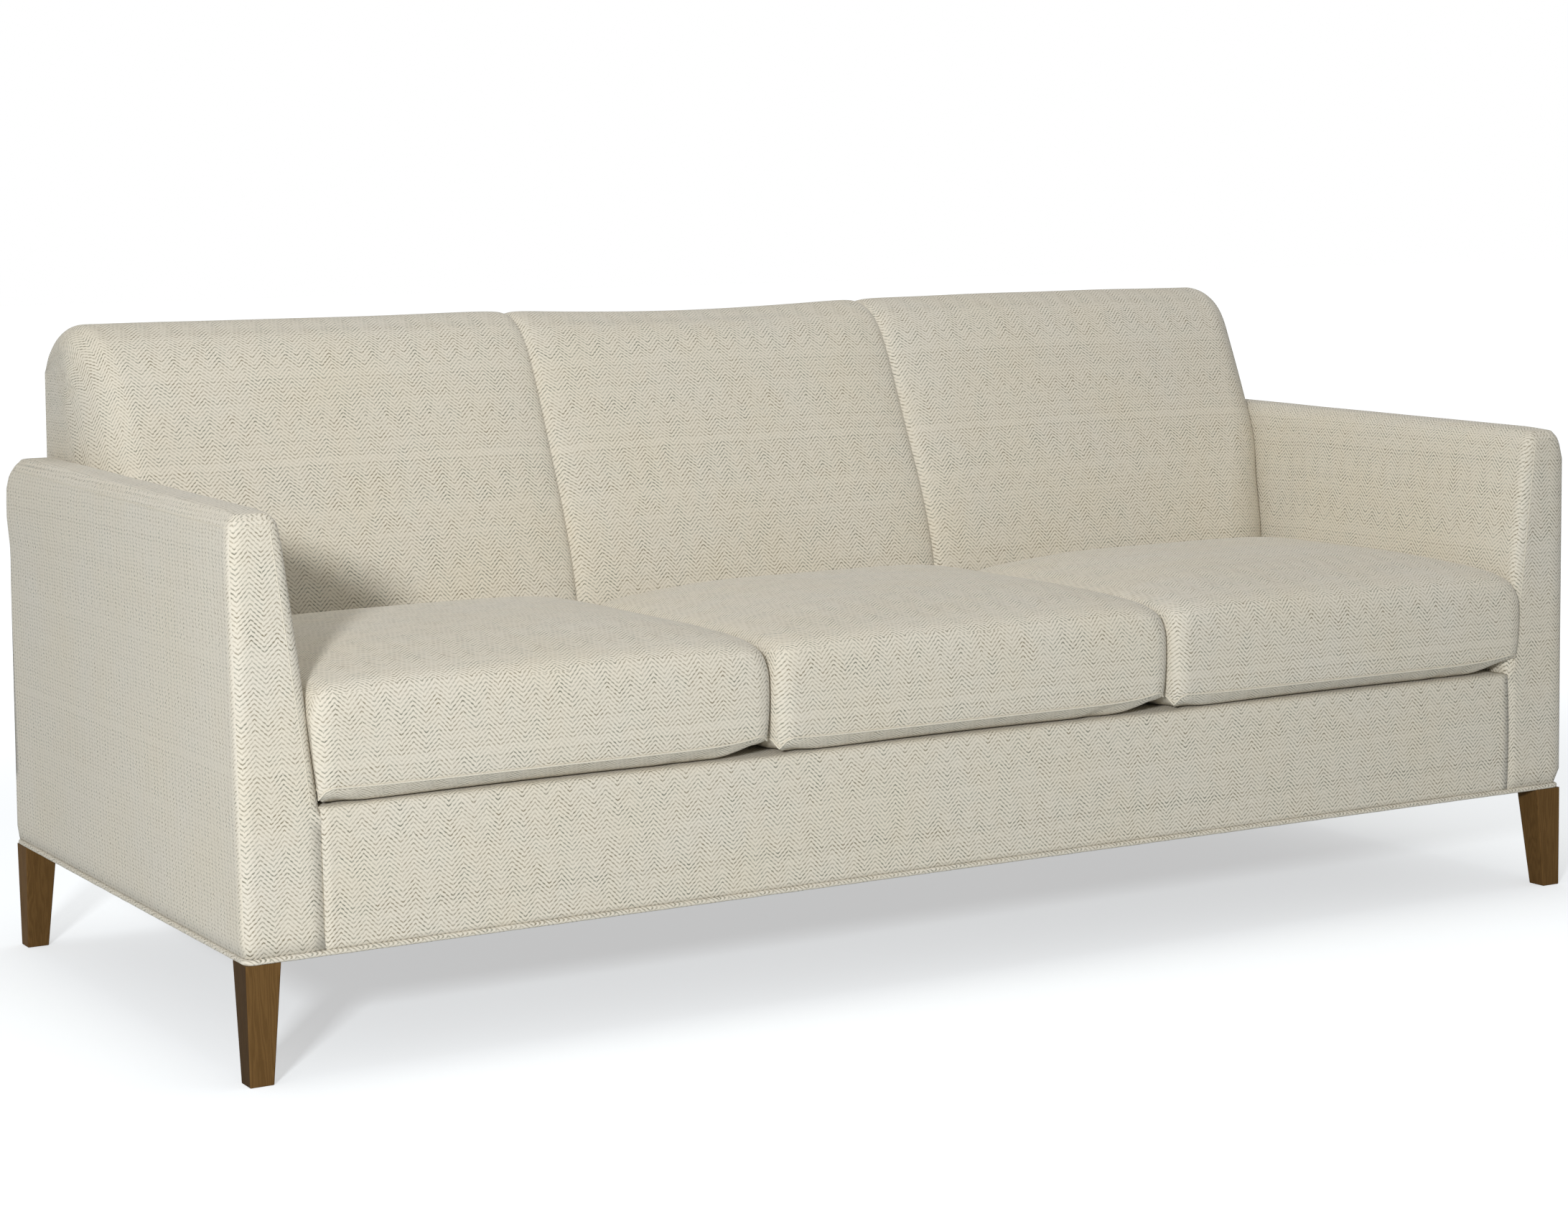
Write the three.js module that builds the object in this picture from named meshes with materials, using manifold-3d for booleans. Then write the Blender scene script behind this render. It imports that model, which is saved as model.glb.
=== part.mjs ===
// A three-seat sofa: a straight-topped tight back sewn in three sections, slim arms that taper
// towards the top, three loose seat cushions and four tapered wooden legs.
// Lengths are in millimetres. +X runs along the width, the front faces -Y and +Z is up.
// The origin is on the floor, under the middle of the sofa.

import * as THREE from 'three';
import { mergeVertices } from 'three/addons/utils/BufferGeometryUtils.js';
import Module from 'manifold-3d';

const wasm = await Module();
wasm.setup();

// Overall sizes
const overallWidth = 2032;
const overallDepth = 914;
const overallHeight = 870;
const legHeight = 145;
const deckHeight = 321;
const fitGap = 0.3;
const mergeShare = 0.001;
const cutOverrun = 30;

// Upholstery
const coverThickness = 3;
const padThickness = 12;
const weltRadius = 3;
const weltCornerRadius = 10;
const weltSides = 8;
const dustCoverThickness = 1.2;
const dustCoverInset = 20;
const webbingThickness = 2;

// Arms
const armHeightFront = 668;
const armRise = 19;
const armWidthDeck = 99;
const armWidthTop = 59;
const armEdgeRadius = 13;
const armFrontRadius = 10;
const armRearRadius = 38;

// Back
const backDepthDeck = 370;
const sectionSeamOffset = 298;
const sectionSeamDepth = 15;
const backEndRecess = 46;
const backPadDepthDeck = 100;
const topRailDepth = 75;
const topRailDrop = 12;
const topRailThickness = 24;
const lowerRailHeight = 60;
const lowerRailLift = 18;

// Legs and their bolts
const legTopSize = 44;
const legFootSize = 30;
const legInset = 0.5;
const legEdgeBevel = 2;
const legFootBevel = 1.5;
const boltRadius = 4;
const boltSetIn = 24;
const boltDepthInLeg = 40;
const boltSides = 12;

// Frame boards
const boardThickness = 22;
const seatRailHeight = 145;
const crossRailHeight = 95;
const cornerBlockHeight = 40;
const cornerBlockLength = 78;
const cornerBlockBevel = 24;
const armRailHeight = 40;

// Seat springs and deck
const springWireRadius = 2;
const springPitch = 42;
const springWidth = 70;
const springArch = 8;
const springNames = ['a', 'b'];
const springSpread = 300;
const springSides = 5;
const deckEdgeRadius = 14;
const seatRearRailReach = 63;

// Loose seat cushions
const seatNames = ['left', 'centre', 'right'];
const seatCount = seatNames.length;
const cushionOverhang = 4;
const cushionGap = 0.8;
const cushionUnderDepth = 24;
const cushionBoxingHeight = 122;
const cushionCrown = 36;
const cushionSeamInset = 3;
const cushionCornerRadius = 13;
const cushionDrawIn = 3;
const cushionCoverThickness = 2.4;
const zipRoom = 6;
const zipLength = 460;
const zipSlit = 1;
const zipTeethHeight = 5;
const zipTeethProud = 1.2;
const zipSliderLength = 12;
const zipSliderHeight = 9;
const zipSliderThickness = 2.6;
const zipTabLength = 22;
const zipTabHeight = 6;
const zipTabThickness = 1.2;

// Planes that the pieces share
const bodyHalfWidth = overallWidth / 2 - weltRadius;
const bodyFrontY = -overallDepth / 2 + cushionOverhang;
const bodyRearY = overallDepth / 2 - weltRadius;
const coverBottomZ = legHeight + 2 * weltRadius + fitGap;
const skin = coverThickness + fitGap;
const woodInset = skin + padThickness + fitGap;
const railTopZ = legHeight + seatRailHeight;
const backFrontY = bodyRearY - backDepthDeck;
const rearLeanShare = 0.07;

// The outside back leans forward a little as it rises.
function rearY(z) {
  return bodyRearY - rearLeanShare * (z - legHeight);
}

// Half the clear width between the arms. It is even up to the deck and widens above it,
// because the arms get slimmer towards the top.
function armInnerX(z) {
  const rise = Math.max(z - deckHeight, 0) / (armHeightFront - deckHeight);
  return bodyHalfWidth - armWidthDeck + rise * (armWidthDeck - armWidthTop);
}

// Turns a geometry into a closed solid: shared vertices, no empty triangles, faces outwards.
function solid(geometry) {
  const bare = geometry.clone();
  bare.deleteAttribute('normal');
  bare.deleteAttribute('uv');
  const merged = mergeVertices(bare, fitGap * mergeShare);
  const positions = merged.attributes.position.array;
  const source = merged.index.array;
  const triangles = [];
  for (let i = 0; i < source.length; i += 3) {
    const [a, b, c] = [source[i], source[i + 1], source[i + 2]];
    if (a !== b && b !== c && c !== a) {
      triangles.push(a, b, c);
    }
  }
  const corner = (k) => new THREE.Vector3().fromArray(positions, triangles[k] * 3);
  let volume = 0;
  for (let i = 0; i < triangles.length; i += 3) {
    volume += corner(i).dot(corner(i + 1).cross(corner(i + 2)));
  }
  if (volume < 0) {
    triangles.reverse();
  }
  return new wasm.Manifold(new wasm.Mesh({
    numProp: 3,
    vertProperties: new Float32Array(positions),
    triVerts: new Uint32Array(triangles),
  }));
}

// Turns a solid back into a geometry.
function geometryOf(body) {
  const mesh = body.getMesh();
  const geometry = new THREE.BufferGeometry();
  geometry.setAttribute('position', new THREE.BufferAttribute(mesh.vertProperties, 3));
  geometry.setIndex(new THREE.BufferAttribute(mesh.triVerts, 1));
  return geometry;
}

// A box between two corners.
function block(x0, x1, y0, y1, z0, z1) {
  const geometry = new THREE.BoxGeometry(x1 - x0, y1 - y0, z1 - z0);
  geometry.translate((x0 + x1) / 2, (y0 + y1) / 2, (z0 + z1) / 2);
  return solid(geometry);
}

// An outline in the YZ plane, carried along X.
function alongX(outline, x0, x1) {
  const shape = new THREE.Shape(outline.map(([y, z]) => new THREE.Vector2(y, z)));
  const geometry = new THREE.ExtrudeGeometry(shape, { depth: x1 - x0, bevelEnabled: false });
  const turn = new THREE.Matrix4().makeBasis(
    new THREE.Vector3(0, 1, 0),
    new THREE.Vector3(0, 0, 1),
    new THREE.Vector3(1, 0, 0),
  );
  geometry.applyMatrix4(turn);
  geometry.translate(x0, 0, 0);
  return solid(geometry);
}

// An outline in the XY plane, carried upwards.
function upwards(outline, z0, z1) {
  const shape = new THREE.Shape(outline.map(([x, y]) => new THREE.Vector2(x, y)));
  const geometry = new THREE.ExtrudeGeometry(shape, { depth: z1 - z0, bevelEnabled: false });
  geometry.translate(0, 0, z0);
  return solid(geometry);
}

const seenFromFront = (point) => new THREE.Vector2(point.x, point.z);
const seenFromSide = (point) => new THREE.Vector2(point.y, point.z);
const seenFromTop = (point) => new THREE.Vector2(point.x, point.y);

// Fills a ring with triangles whose outer edges run along the ring, or against it.
function fillRing(ring, seenFrom, forward) {
  const flatRing = ring.map(seenFrom);
  const faces = THREE.ShapeUtils.triangulateShape(flatRing, []);
  const areaOf = (face) => THREE.ShapeUtils.area(face.map((index) => flatRing[index]));
  const filled = faces.reduce((sum, face) => sum + areaOf(face), 0);
  const alongRing = filled * THREE.ShapeUtils.area(flatRing) > 0;
  return faces.flatMap(([a, b, c]) => (alongRing === forward ? [a, b, c] : [c, b, a]));
}

// Joins rings of points into one closed skin and fills the two end rings.
function loft(rings, seenFrom) {
  const count = rings[0].length;
  const triangles = [];
  for (let i = 0; i + 1 < rings.length; i++) {
    for (let j = 0; j < count; j++) {
      const a = i * count + j;
      const b = i * count + ((j + 1) % count);
      triangles.push(a, b, b + count, a, b + count, a + count);
    }
  }
  const last = (rings.length - 1) * count;
  triangles.push(...fillRing(rings[0], seenFrom, false));
  triangles.push(...fillRing(rings.at(-1), seenFrom, true).map((index) => index + last));
  const positions = rings.flat().flatMap((point) => point.toArray());
  const geometry = new THREE.BufferGeometry();
  geometry.setAttribute('position', new THREE.Float32BufferAttribute(positions, 3));
  geometry.setIndex(triangles);
  return solid(geometry);
}

// A round wire or cord along a list of points that stay nearly level.
function wire(points, radius, sides) {
  const rings = points.map((point, i) => {
    const before = points[Math.max(i - 1, 0)];
    const after = points[Math.min(i + 1, points.length - 1)];
    const along = new THREE.Vector3().subVectors(after, before).normalize();
    const across = new THREE.Vector3(0, 0, 1).cross(along).normalize();
    const upward = new THREE.Vector3().crossVectors(along, across);
    return Array.from({ length: sides }, (_, k) => {
      const angle = (2 * Math.PI * k) / sides;
      return point.clone()
        .addScaledVector(across, radius * Math.cos(angle))
        .addScaledVector(upward, radius * Math.sin(angle));
    });
  });
  const count = sides;
  const centres = [points[0], points.at(-1)];
  const positions = [...rings.flat(), ...centres].flatMap((point) => point.toArray());
  const first = rings.length * count;
  const last = (rings.length - 1) * count;
  const triangles = [];
  for (let j = 0; j < count; j++) {
    const next = (j + 1) % count;
    for (let i = 0; i < last; i += count) {
      triangles.push(i + j, i + next, i + next + count, i + j, i + next + count, i + j + count);
    }
    triangles.push(first, next, j, first + 1, last + j, last + next);
  }
  const geometry = new THREE.BufferGeometry();
  geometry.setAttribute('position', new THREE.Float32BufferAttribute(positions, 3));
  geometry.setIndex(triangles);
  return solid(geometry);
}

// Materials, with the colours of the photographed sofa where they show.
const finish = (color, roughness, metalness = 0) => (
  new THREE.MeshStandardMaterial({ color, roughness, metalness })
);
const fabric = finish('#cfc8b8', 0.95);
const foam = finish('#efe6c4', 0.9);
const frameWood = finish('#c9a877', 0.75);
const stainedWood = finish('#5e4227', 0.45);
const springSteel = finish('#8b8f94', 0.35, 1);
const webbing = finish('#b79f78', 0.9);
const blackCloth = finish('#2b2b2d', 0.95);
const zipMetal = finish('#a9a295', 0.35, 1);

const sofa = new THREE.Group();

function add(name, body, material) {
  const mesh = new THREE.Mesh(geometryOf(body), material);
  mesh.name = name;
  sofa.add(mesh);
}

const sides = [['left', -1], ['right', 1]];
const ends = [['front', -1], ['rear', 1]];

// Mirrors a ring of points to the left side of the sofa when `side` is -1.
const mirrored = (rings, side) => rings.map((ring) => (
  ring.map((point) => new THREE.Vector3(side * point.x, point.y, point.z))
));

// Arms

const leastRadiusShare = 0.25;
const rearRoundSteps = 3;
const edgeRoundSteps = 2;

// The solid outline of the right arm, `inset` inside its outer face all round. With `open` it
// runs on past the bottom and the rear, to hollow out a cover or a pad.
function armRings(inset, bottomZ, open) {
  const edge = Math.max(armEdgeRadius - inset, armEdgeRadius * leastRadiusShare);
  const front = Math.max(armFrontRadius - inset, armFrontRadius * leastRadiusShare);
  const rear = armRearRadius - inset;
  const outerX = bodyHalfWidth - inset;
  const innerX = (z) => armInnerX(z) + inset;
  const profile = (topZ, shrink, yAt) => {
    const top = topZ - shrink;
    const points = [[outerX - shrink, bottomZ]];
    for (let k = 0; k <= edgeRoundSteps; k++) {
      const angle = (k / edgeRoundSteps) * (Math.PI / 2);
      points.push([
        outerX - shrink - edge * (1 - Math.cos(angle)),
        top - edge * (1 - Math.sin(angle)),
      ]);
    }
    for (let k = 0; k <= edgeRoundSteps; k++) {
      const angle = (k / edgeRoundSteps) * (Math.PI / 2);
      const z = top - edge * (1 - Math.cos(angle));
      points.push([innerX(z) + shrink + edge * (1 - Math.sin(angle)), z]);
    }
    points.push([innerX(deckHeight) + shrink, deckHeight]);
    points.push([innerX(deckHeight) + shrink, bottomZ]);
    return points.map(([x, z]) => new THREE.Vector3(x, yAt(z), z));
  };
  const rings = [];
  const frontY = bodyFrontY + inset;
  for (let k = 0; k <= edgeRoundSteps; k++) {
    const angle = (k / edgeRoundSteps) * (Math.PI / 2);
    const shrink = front * (1 - Math.sin(angle));
    const y = frontY + front * (1 - Math.cos(angle));
    rings.push(profile(armHeightFront - inset, shrink, () => y));
  }
  const rearTopZ = armHeightFront + armRise - inset;
  for (let k = 0; k <= rearRoundSteps; k++) {
    const angle = (k / rearRoundSteps) * (Math.PI / 2);
    const drop = rear * (1 - Math.cos(angle));
    const ahead = rear * (1 - Math.sin(angle));
    rings.push(profile(rearTopZ - drop, 0, (z) => rearY(z) - skin - inset - ahead));
  }
  if (open) {
    rings.push(profile(rearTopZ - rear, 0, (z) => rearY(z) + cutOverrun));
  }
  return rings;
}

function armSolid(side, inset, bottomZ, open = false) {
  return loft(mirrored(armRings(inset, bottomZ, open), side), seenFromFront);
}

// A layer of an arm, open underneath and at the rear. Its inner wall stops above the seat rails.
function armLayer(side, inset, thickness) {
  const outer = armSolid(side, inset, coverBottomZ);
  const inner = armSolid(side, inset + thickness, coverBottomZ - cutOverrun, true);
  const [x0, x1] = [0, bodyHalfWidth - woodInset].map((x) => side * x).sort((a, b) => a - b);
  const frontY = bodyFrontY + inset + thickness;
  const below = block(x0, x1, frontY, bodyRearY + cutOverrun, 0, railTopZ + fitGap);
  return outer.subtract(inner).subtract(below);
}

// The slab between two planes that lean like the outside back, counted inwards from it.
function rearSlab(near, far, x0, x1, z0, z1) {
  return alongX([
    [rearY(z0) - far, z0],
    [rearY(z0) - near, z0],
    [rearY(z1) - near, z1],
    [rearY(z1) - far, z1],
  ], x0, x1);
}

const frontBoardY = bodyFrontY + woodInset;
const cornerBlockTopZ = legHeight + cornerBlockHeight;
const armTopZ = armHeightFront + armRise;

for (const [name, side] of sides) {
  add(`arm_cover_${name}`, armLayer(side, 0, coverThickness), fabric);
  add(`arm_pad_${name}`, armLayer(side, skin, padThickness), foam);

  const wood = armSolid(side, woodInset, cornerBlockTopZ + fitGap);
  const [x0, x1] = side < 0 ? [-overallWidth, 0] : [0, overallWidth];
  const postBackY = frontBoardY + boardThickness;
  const frontSlab = block(x0, x1, bodyFrontY, postBackY, 0, overallHeight);
  add(`arm_front_post_${name}`, wood.intersect(frontSlab), frameWood);

  const rearNear = skin;
  const rearFar = skin + boardThickness;
  const longWood = armSolid(side, woodInset, cornerBlockTopZ + fitGap, true);
  const rearPost = rearSlab(rearNear, rearFar, x0, x1, 0, overallHeight);
  add(`arm_rear_post_${name}`, longWood.intersect(rearPost), frameWood);

  const railSpace = alongX([
    [postBackY + fitGap, 0],
    [rearY(0) - rearFar - fitGap, 0],
    [rearY(overallHeight) - rearFar - fitGap, overallHeight],
    [postBackY + fitGap, overallHeight],
  ], x0, x1);
  const lowSpace = alongX([
    [bodyFrontY, 0],
    [bodyRearY, 0],
    [bodyRearY, armTopZ - woodInset - armRailHeight],
    [bodyFrontY, armHeightFront - woodInset - armRailHeight],
  ], x0, x1);
  add(`arm_top_rail_${name}`, wood.intersect(railSpace).subtract(lowSpace), frameWood);

  const outerX = bodyHalfWidth - woodInset;
  const railBackY = rearY(railTopZ) - rearFar - fitGap;
  const blockEndY = frontBoardY + cornerBlockLength;
  const rearBlockEndY = rearY(cornerBlockTopZ) - skin - cornerBlockLength;
  const railOutline = [
    [postBackY + fitGap, cornerBlockTopZ + fitGap],
    [blockEndY + fitGap, cornerBlockTopZ + fitGap],
    [blockEndY + fitGap, legHeight],
    [rearBlockEndY - fitGap, legHeight],
    [rearBlockEndY - fitGap, cornerBlockTopZ + fitGap],
    [railBackY, cornerBlockTopZ + fitGap],
    [railBackY, railTopZ],
    [postBackY + fitGap, railTopZ],
  ];
  const [railX0, railX1] = side < 0
    ? [-outerX, -outerX + boardThickness]
    : [outerX - boardThickness, outerX];
  add(`side_rail_${name}`, alongX(railOutline, railX0, railX1), frameWood);
}

// Base frame

const frontRailBackY = frontBoardY + boardThickness;
const rearRailFrontY = rearY(railTopZ) - skin - boardThickness;
const blockInnerX = armInnerX(deckHeight) + woodInset;
const blockOuterX = bodyHalfWidth - woodInset;
const betweenBlocks = blockInnerX - fitGap;
const crossRailTopZ = legHeight + crossRailHeight;
const seatRearRailY = backFrontY + seatRearRailReach;
const betweenSideRails = blockOuterX - boardThickness - fitGap;

add('front_rail', block(
  -betweenBlocks, betweenBlocks, frontBoardY, frontRailBackY, legHeight, railTopZ,
), frameWood);
add('rear_rail', rearSlab(
  skin, skin + boardThickness, -betweenBlocks, betweenBlocks, legHeight, railTopZ,
), frameWood);
add('seat_rear_rail', block(
  -betweenSideRails, betweenSideRails,
  seatRearRailY, seatRearRailY + boardThickness,
  crossRailTopZ + fitGap, railTopZ,
), frameWood);
for (const [name, side] of sides) {
  const middle = side * sectionSeamOffset;
  add(`cross_rail_${name}`, block(
    middle - boardThickness / 2, middle + boardThickness / 2,
    frontRailBackY + fitGap, rearRailFrontY - fitGap,
    legHeight, crossRailTopZ,
  ), frameWood);
}

// Legs: the two outer faces are upright and flush with the welt, and the two inner faces taper
// towards the foot.
const legTopZ = legHeight - fitGap;
const legProud = weltRadius - legInset;
const legOuterX = bodyHalfWidth + legProud;

function legRing(size, shrink, side, end, z) {
  const outerY = end < 0 ? bodyFrontY - legProud : bodyRearY + legProud;
  const low = shrink;
  const high = size - shrink;
  const outline = [
    [low + legEdgeBevel, low], [high - legEdgeBevel, low],
    [high, low + legEdgeBevel], [high, high - legEdgeBevel],
    [high - legEdgeBevel, high], [low + legEdgeBevel, high],
    [low, high - legEdgeBevel], [low, low + legEdgeBevel],
  ];
  return outline.map(([x, y]) => new THREE.Vector3(
    side * (legOuterX - x),
    outerY - end * y,
    z,
  ));
}

function stud(x, y, radius, z0, z1) {
  const geometry = new THREE.CylinderGeometry(radius, radius, z1 - z0, boltSides);
  geometry.rotateX(Math.PI / 2);
  geometry.translate(x, y, (z0 + z1) / 2);
  return solid(geometry);
}

for (const [endName, end] of ends) {
  for (const [sideName, side] of sides) {
    const name = `${endName}_${sideName}`;
    const x = side * (bodyHalfWidth - boltSetIn);
    const y = end < 0 ? bodyFrontY + boltSetIn : bodyRearY - boltSetIn;
    const holeBottomZ = legTopZ - boltDepthInLeg;
    const blockTopZ = cornerBlockTopZ;
    const leg = loft([
      legRing(legFootSize, legFootBevel, side, end, 0),
      legRing(legFootSize, 0, side, end, legFootBevel),
      legRing(legTopSize, 0, side, end, legTopZ),
    ], seenFromTop);
    const hole = stud(x, y, boltRadius + fitGap, holeBottomZ, legTopZ + cutOverrun);
    add(`leg_${name}`, leg.subtract(hole), stainedWood);
    add(`leg_bolt_${name}`, stud(x, y, boltRadius, holeBottomZ + fitGap, blockTopZ), springSteel);

    const nearY = end < 0 ? frontBoardY : rearY(cornerBlockTopZ) - skin;
    const farY = nearY - end * cornerBlockLength;
    const innerX = side * blockInnerX;
    const outerX = side * blockOuterX;
    const outline = [
      [outerX, nearY],
      [outerX, farY],
      [innerX + side * cornerBlockBevel, farY],
      [innerX, farY + end * cornerBlockBevel],
      [innerX, nearY],
    ];
    const bore = stud(x, y, boltRadius + fitGap, 0, overallHeight);
    const cornerBlock = upwards(outline, legHeight, cornerBlockTopZ).subtract(bore);
    add(`corner_block_${name}`, cornerBlock, frameWood);
  }
}

// Seat springs: flat serpentine wires that lie on the front rail and the seat's rear rail.
const springFrontY = frontBoardY + boardThickness / 2;
const springRearY = seatRearRailY + boardThickness / 2;
const springRestZ = railTopZ + fitGap + springWireRadius;

function springZ(y) {
  const share = Math.min(Math.max((y - springFrontY) / (springRearY - springFrontY), 0), 1);
  return springRestZ + springArch * (1 - (2 * share - 1) ** 2);
}

function springPath(middleX) {
  const turns = Math.round((springRearY - springFrontY) / springPitch);
  const pitch = (springRearY - springFrontY) / turns;
  const reach = springWidth / 2 - springWireRadius - pitch / 2;
  const points = [];
  for (let k = 0; k <= turns; k++) {
    const y = springFrontY + k * pitch;
    const turn = k % 2 ? 1 : -1;
    points.push([-turn * reach, y], [turn * reach, y]);
    if (k < turns) {
      for (const angle of [Math.PI / 3, (2 * Math.PI) / 3]) {
        const bend = turn * (reach + (pitch / 2) * Math.sin(angle));
        points.push([bend, y + (pitch / 2) * (1 - Math.cos(angle))]);
      }
    }
  }
  return points.map(([x, y]) => new THREE.Vector3(middleX + x, y, springZ(y)));
}

// Loose cushions share the clear width between the arms at the middle of their boxing.
const seamLowZ = deckHeight + cushionUnderDepth;
const seamHighZ = seamLowZ + cushionBoxingHeight;
const boxingMiddleZ = (seamLowZ + seamHighZ) / 2;
const seatClearWidth = 2 * armInnerX(boxingMiddleZ);
const cushionWidth = (seatClearWidth - (seatCount + 1) * cushionGap) / seatCount;
const seatMiddleX = (k) => (k - (seatCount - 1) / 2) * (cushionWidth + cushionGap);

seatNames.forEach((name, seat) => {
  springNames.forEach((place, k) => {
    const offset = springSpread * (k / (springNames.length - 1) - 1 / 2);
    const path = springPath(seatMiddleX(seat) + offset);
    add(`seat_spring_${name}_${place}`, wire(path, springWireRadius, springSides), springSteel);
  });
});

// Deck: a pad over the front rail and the springs, and the cover that shows as the front panel.
const deckRearY = backFrontY + backPadDepthDeck - webbingThickness - 2 * fitGap;
const deckHalfWidth = armInnerX(deckHeight) - fitGap;
const deckArcSteps = 3;

// The front and top of the deck, `inset` inside the cover's outer face.
function deckLine(inset) {
  const radius = deckEdgeRadius - inset;
  const middleY = bodyFrontY + deckEdgeRadius;
  const middleZ = deckHeight - deckEdgeRadius;
  const points = [[bodyFrontY + inset, coverBottomZ]];
  for (let k = 0; k <= deckArcSteps; k++) {
    const angle = (k / deckArcSteps) * (Math.PI / 2);
    points.push([middleY - radius * Math.cos(angle), middleZ + radius * Math.sin(angle)]);
  }
  points.push([deckRearY, deckHeight - inset]);
  return points;
}

const deckCoverOutline = [...deckLine(0), ...deckLine(coverThickness).reverse()];
add('deck_cover', alongX(deckCoverOutline, -deckHalfWidth, deckHalfWidth), fabric);

const deckPadSteps = 8;
const springClearZ = (y) => springZ(y) + springWireRadius + fitGap;
const deckPadUnderside = [[deckRearY, springClearZ(deckRearY)]];
for (let k = deckPadSteps; k >= 0; k--) {
  const y = springFrontY + (k / deckPadSteps) * (springRearY - springFrontY);
  deckPadUnderside.push([y, springClearZ(y)]);
}
deckPadUnderside.push([frontBoardY - fitGap, springClearZ(springFrontY)]);
deckPadUnderside.push([frontBoardY - fitGap, coverBottomZ]);
const deckPadOutline = [...deckLine(skin), ...deckPadUnderside];
add('deck_pad', alongX(deckPadOutline, -deckHalfWidth, deckHalfWidth), foam);

// Back

// The front and top of a section at its fullest, from the deck up and over to the rear edge.
// The first share runs from the foot of the back to its rear face, the second up to the top.
const backProfileShares = [
  [0, 0], [0.062, 0.29], [0.154, 0.475], [0.272, 0.636], [0.444, 0.854], [0.549, 0.942],
  [0.66, 0.985], [0.775, 1], [0.889, 0.982], [0.969, 0.938], [1, 0.878],
];
// How far each of those points draws in at a sewn seam, and at the two ends by the arms.
const seamRecessShares = [1, 1, 1, 1, 0.9, 0.7, 0.5, 0.4, 0.3, 0.2, 0];
const endRecessShares = [1, 1, 0.9, 0.62, 0.56, 0.42, 0.27, 0.25, 0.31, 0.25, 0];
// Places across a section, and how full it is there.
const sectionFullnessShares = [
  [0, 0], [0.06, 0.5], [0.2, 0.88], [0.5, 1], [0.8, 0.88], [0.94, 0.5], [1, 0],
];
const backFootZ = deckHeight + fitGap;
const backEdgeZ = deckHeight + backProfileShares.at(-1)[1] * (overallHeight - deckHeight);
const backEdgeY = rearY(backEdgeZ);
const topRailTopZ = backEdgeZ - topRailDrop;
const topRailFrontY = rearY(topRailTopZ) - skin - topRailDepth;

const backProfile = backProfileShares.map(([depth, rise]) => new THREE.Vector2(
  backFrontY + depth * (backEdgeY - backFrontY),
  backFootZ + rise * (overallHeight - backFootZ),
));

// Half the width of the back. It fits between the arms, and keeps that width above them.
function backHalfWidth(z) {
  return armInnerX(Math.min(z, armHeightFront)) - fitGap;
}

// The profile with each point moved inwards by its own amount.
function drawnProfile(amounts) {
  const lastIndex = backProfile.length - 1;
  return backProfile.map((point, i) => {
    const before = backProfile[Math.max(i - 1, 0)];
    const after = backProfile[Math.min(i + 1, lastIndex)];
    const along = after.clone().sub(before).normalize();
    let inwards = new THREE.Vector2(along.y, -along.x);
    if (i === 0) {
      inwards = new THREE.Vector2(1, 0);
    } else if (i === lastIndex) {
      inwards = new THREE.Vector2(-1, 0);
    }
    return point.clone().addScaledVector(inwards, amounts[i]);
  });
}

// A line across the back at a seam or an end: 0 and 3 are the ends, 1 and 2 the sewn seams.
function boundaryX(k, z, inset) {
  const end = backHalfWidth(z) - inset;
  return [-end, -sectionSeamOffset, sectionSeamOffset, end][k];
}

function boundaryRecess(k, i) {
  return k === 0 || k === seatCount
    ? (sectionSeamDepth + backEndRecess) * endRecessShares[i]
    : sectionSeamDepth * seamRecessShares[i];
}

// One ring of the back, at a share of the way across section k.
function backRing(k, across, fullness, inset, closing, trim) {
  const nearest = across < 1 / 2 ? k : k + 1;
  const amounts = backProfile.map((_, i) => inset + (1 - fullness) * boundaryRecess(nearest, i));
  const profile = drawnProfile(amounts);
  const ring = [...profile, ...closing(profile).map(([y, z]) => new THREE.Vector2(y, z))];
  return ring.map(({ x: y, y: z }) => {
    const x0 = boundaryX(k, z, inset) + (k > 0 ? trim : 0);
    const x1 = boundaryX(k + 1, z, inset) - (k < seatCount - 1 ? trim : 0);
    return new THREE.Vector3(x0 + across * (x1 - x0), y, z);
  });
}

// The end rings are repeated further out, so that the space between the arms can cut them off.
function backRings(k, inset, closing, trim = 0) {
  const rings = sectionFullnessShares.map(([across, fullness]) => (
    backRing(k, across, fullness, inset, closing, trim)
  ));
  const moved = (ring, shift) => ring.map(({ x, y, z }) => new THREE.Vector3(x + shift, y, z));
  if (k === 0) {
    rings.unshift(moved(rings[0], -cutOverrun));
  }
  if (k === seatCount - 1) {
    rings.push(moved(rings.at(-1), cutOverrun));
  }
  return rings;
}

// The space between the arms that the back fills, `inset` inside its two ends.
function betweenArms(inset) {
  const right = [0, deckHeight, armHeightFront, overallHeight + cutOverrun].map((z) => (
    [backHalfWidth(z) - inset, z]
  ));
  const outline = [...right, ...right.map(([x, z]) => [-x, z]).reverse()];
  const ringAt = (y) => outline.map(([x, z]) => new THREE.Vector3(x, y, z));
  return loft([ringAt(bodyFrontY), ringAt(bodyRearY + 2 * cutOverrun)], seenFromFront);
}

function wholeBack(inset, closing) {
  const rings = seatNames.flatMap((_, k) => {
    const section = backRings(k, inset, closing);
    return k === 0 ? section : section.slice(1);
  });
  return loft(rings, seenFromSide).intersect(betweenArms(inset));
}

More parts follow.
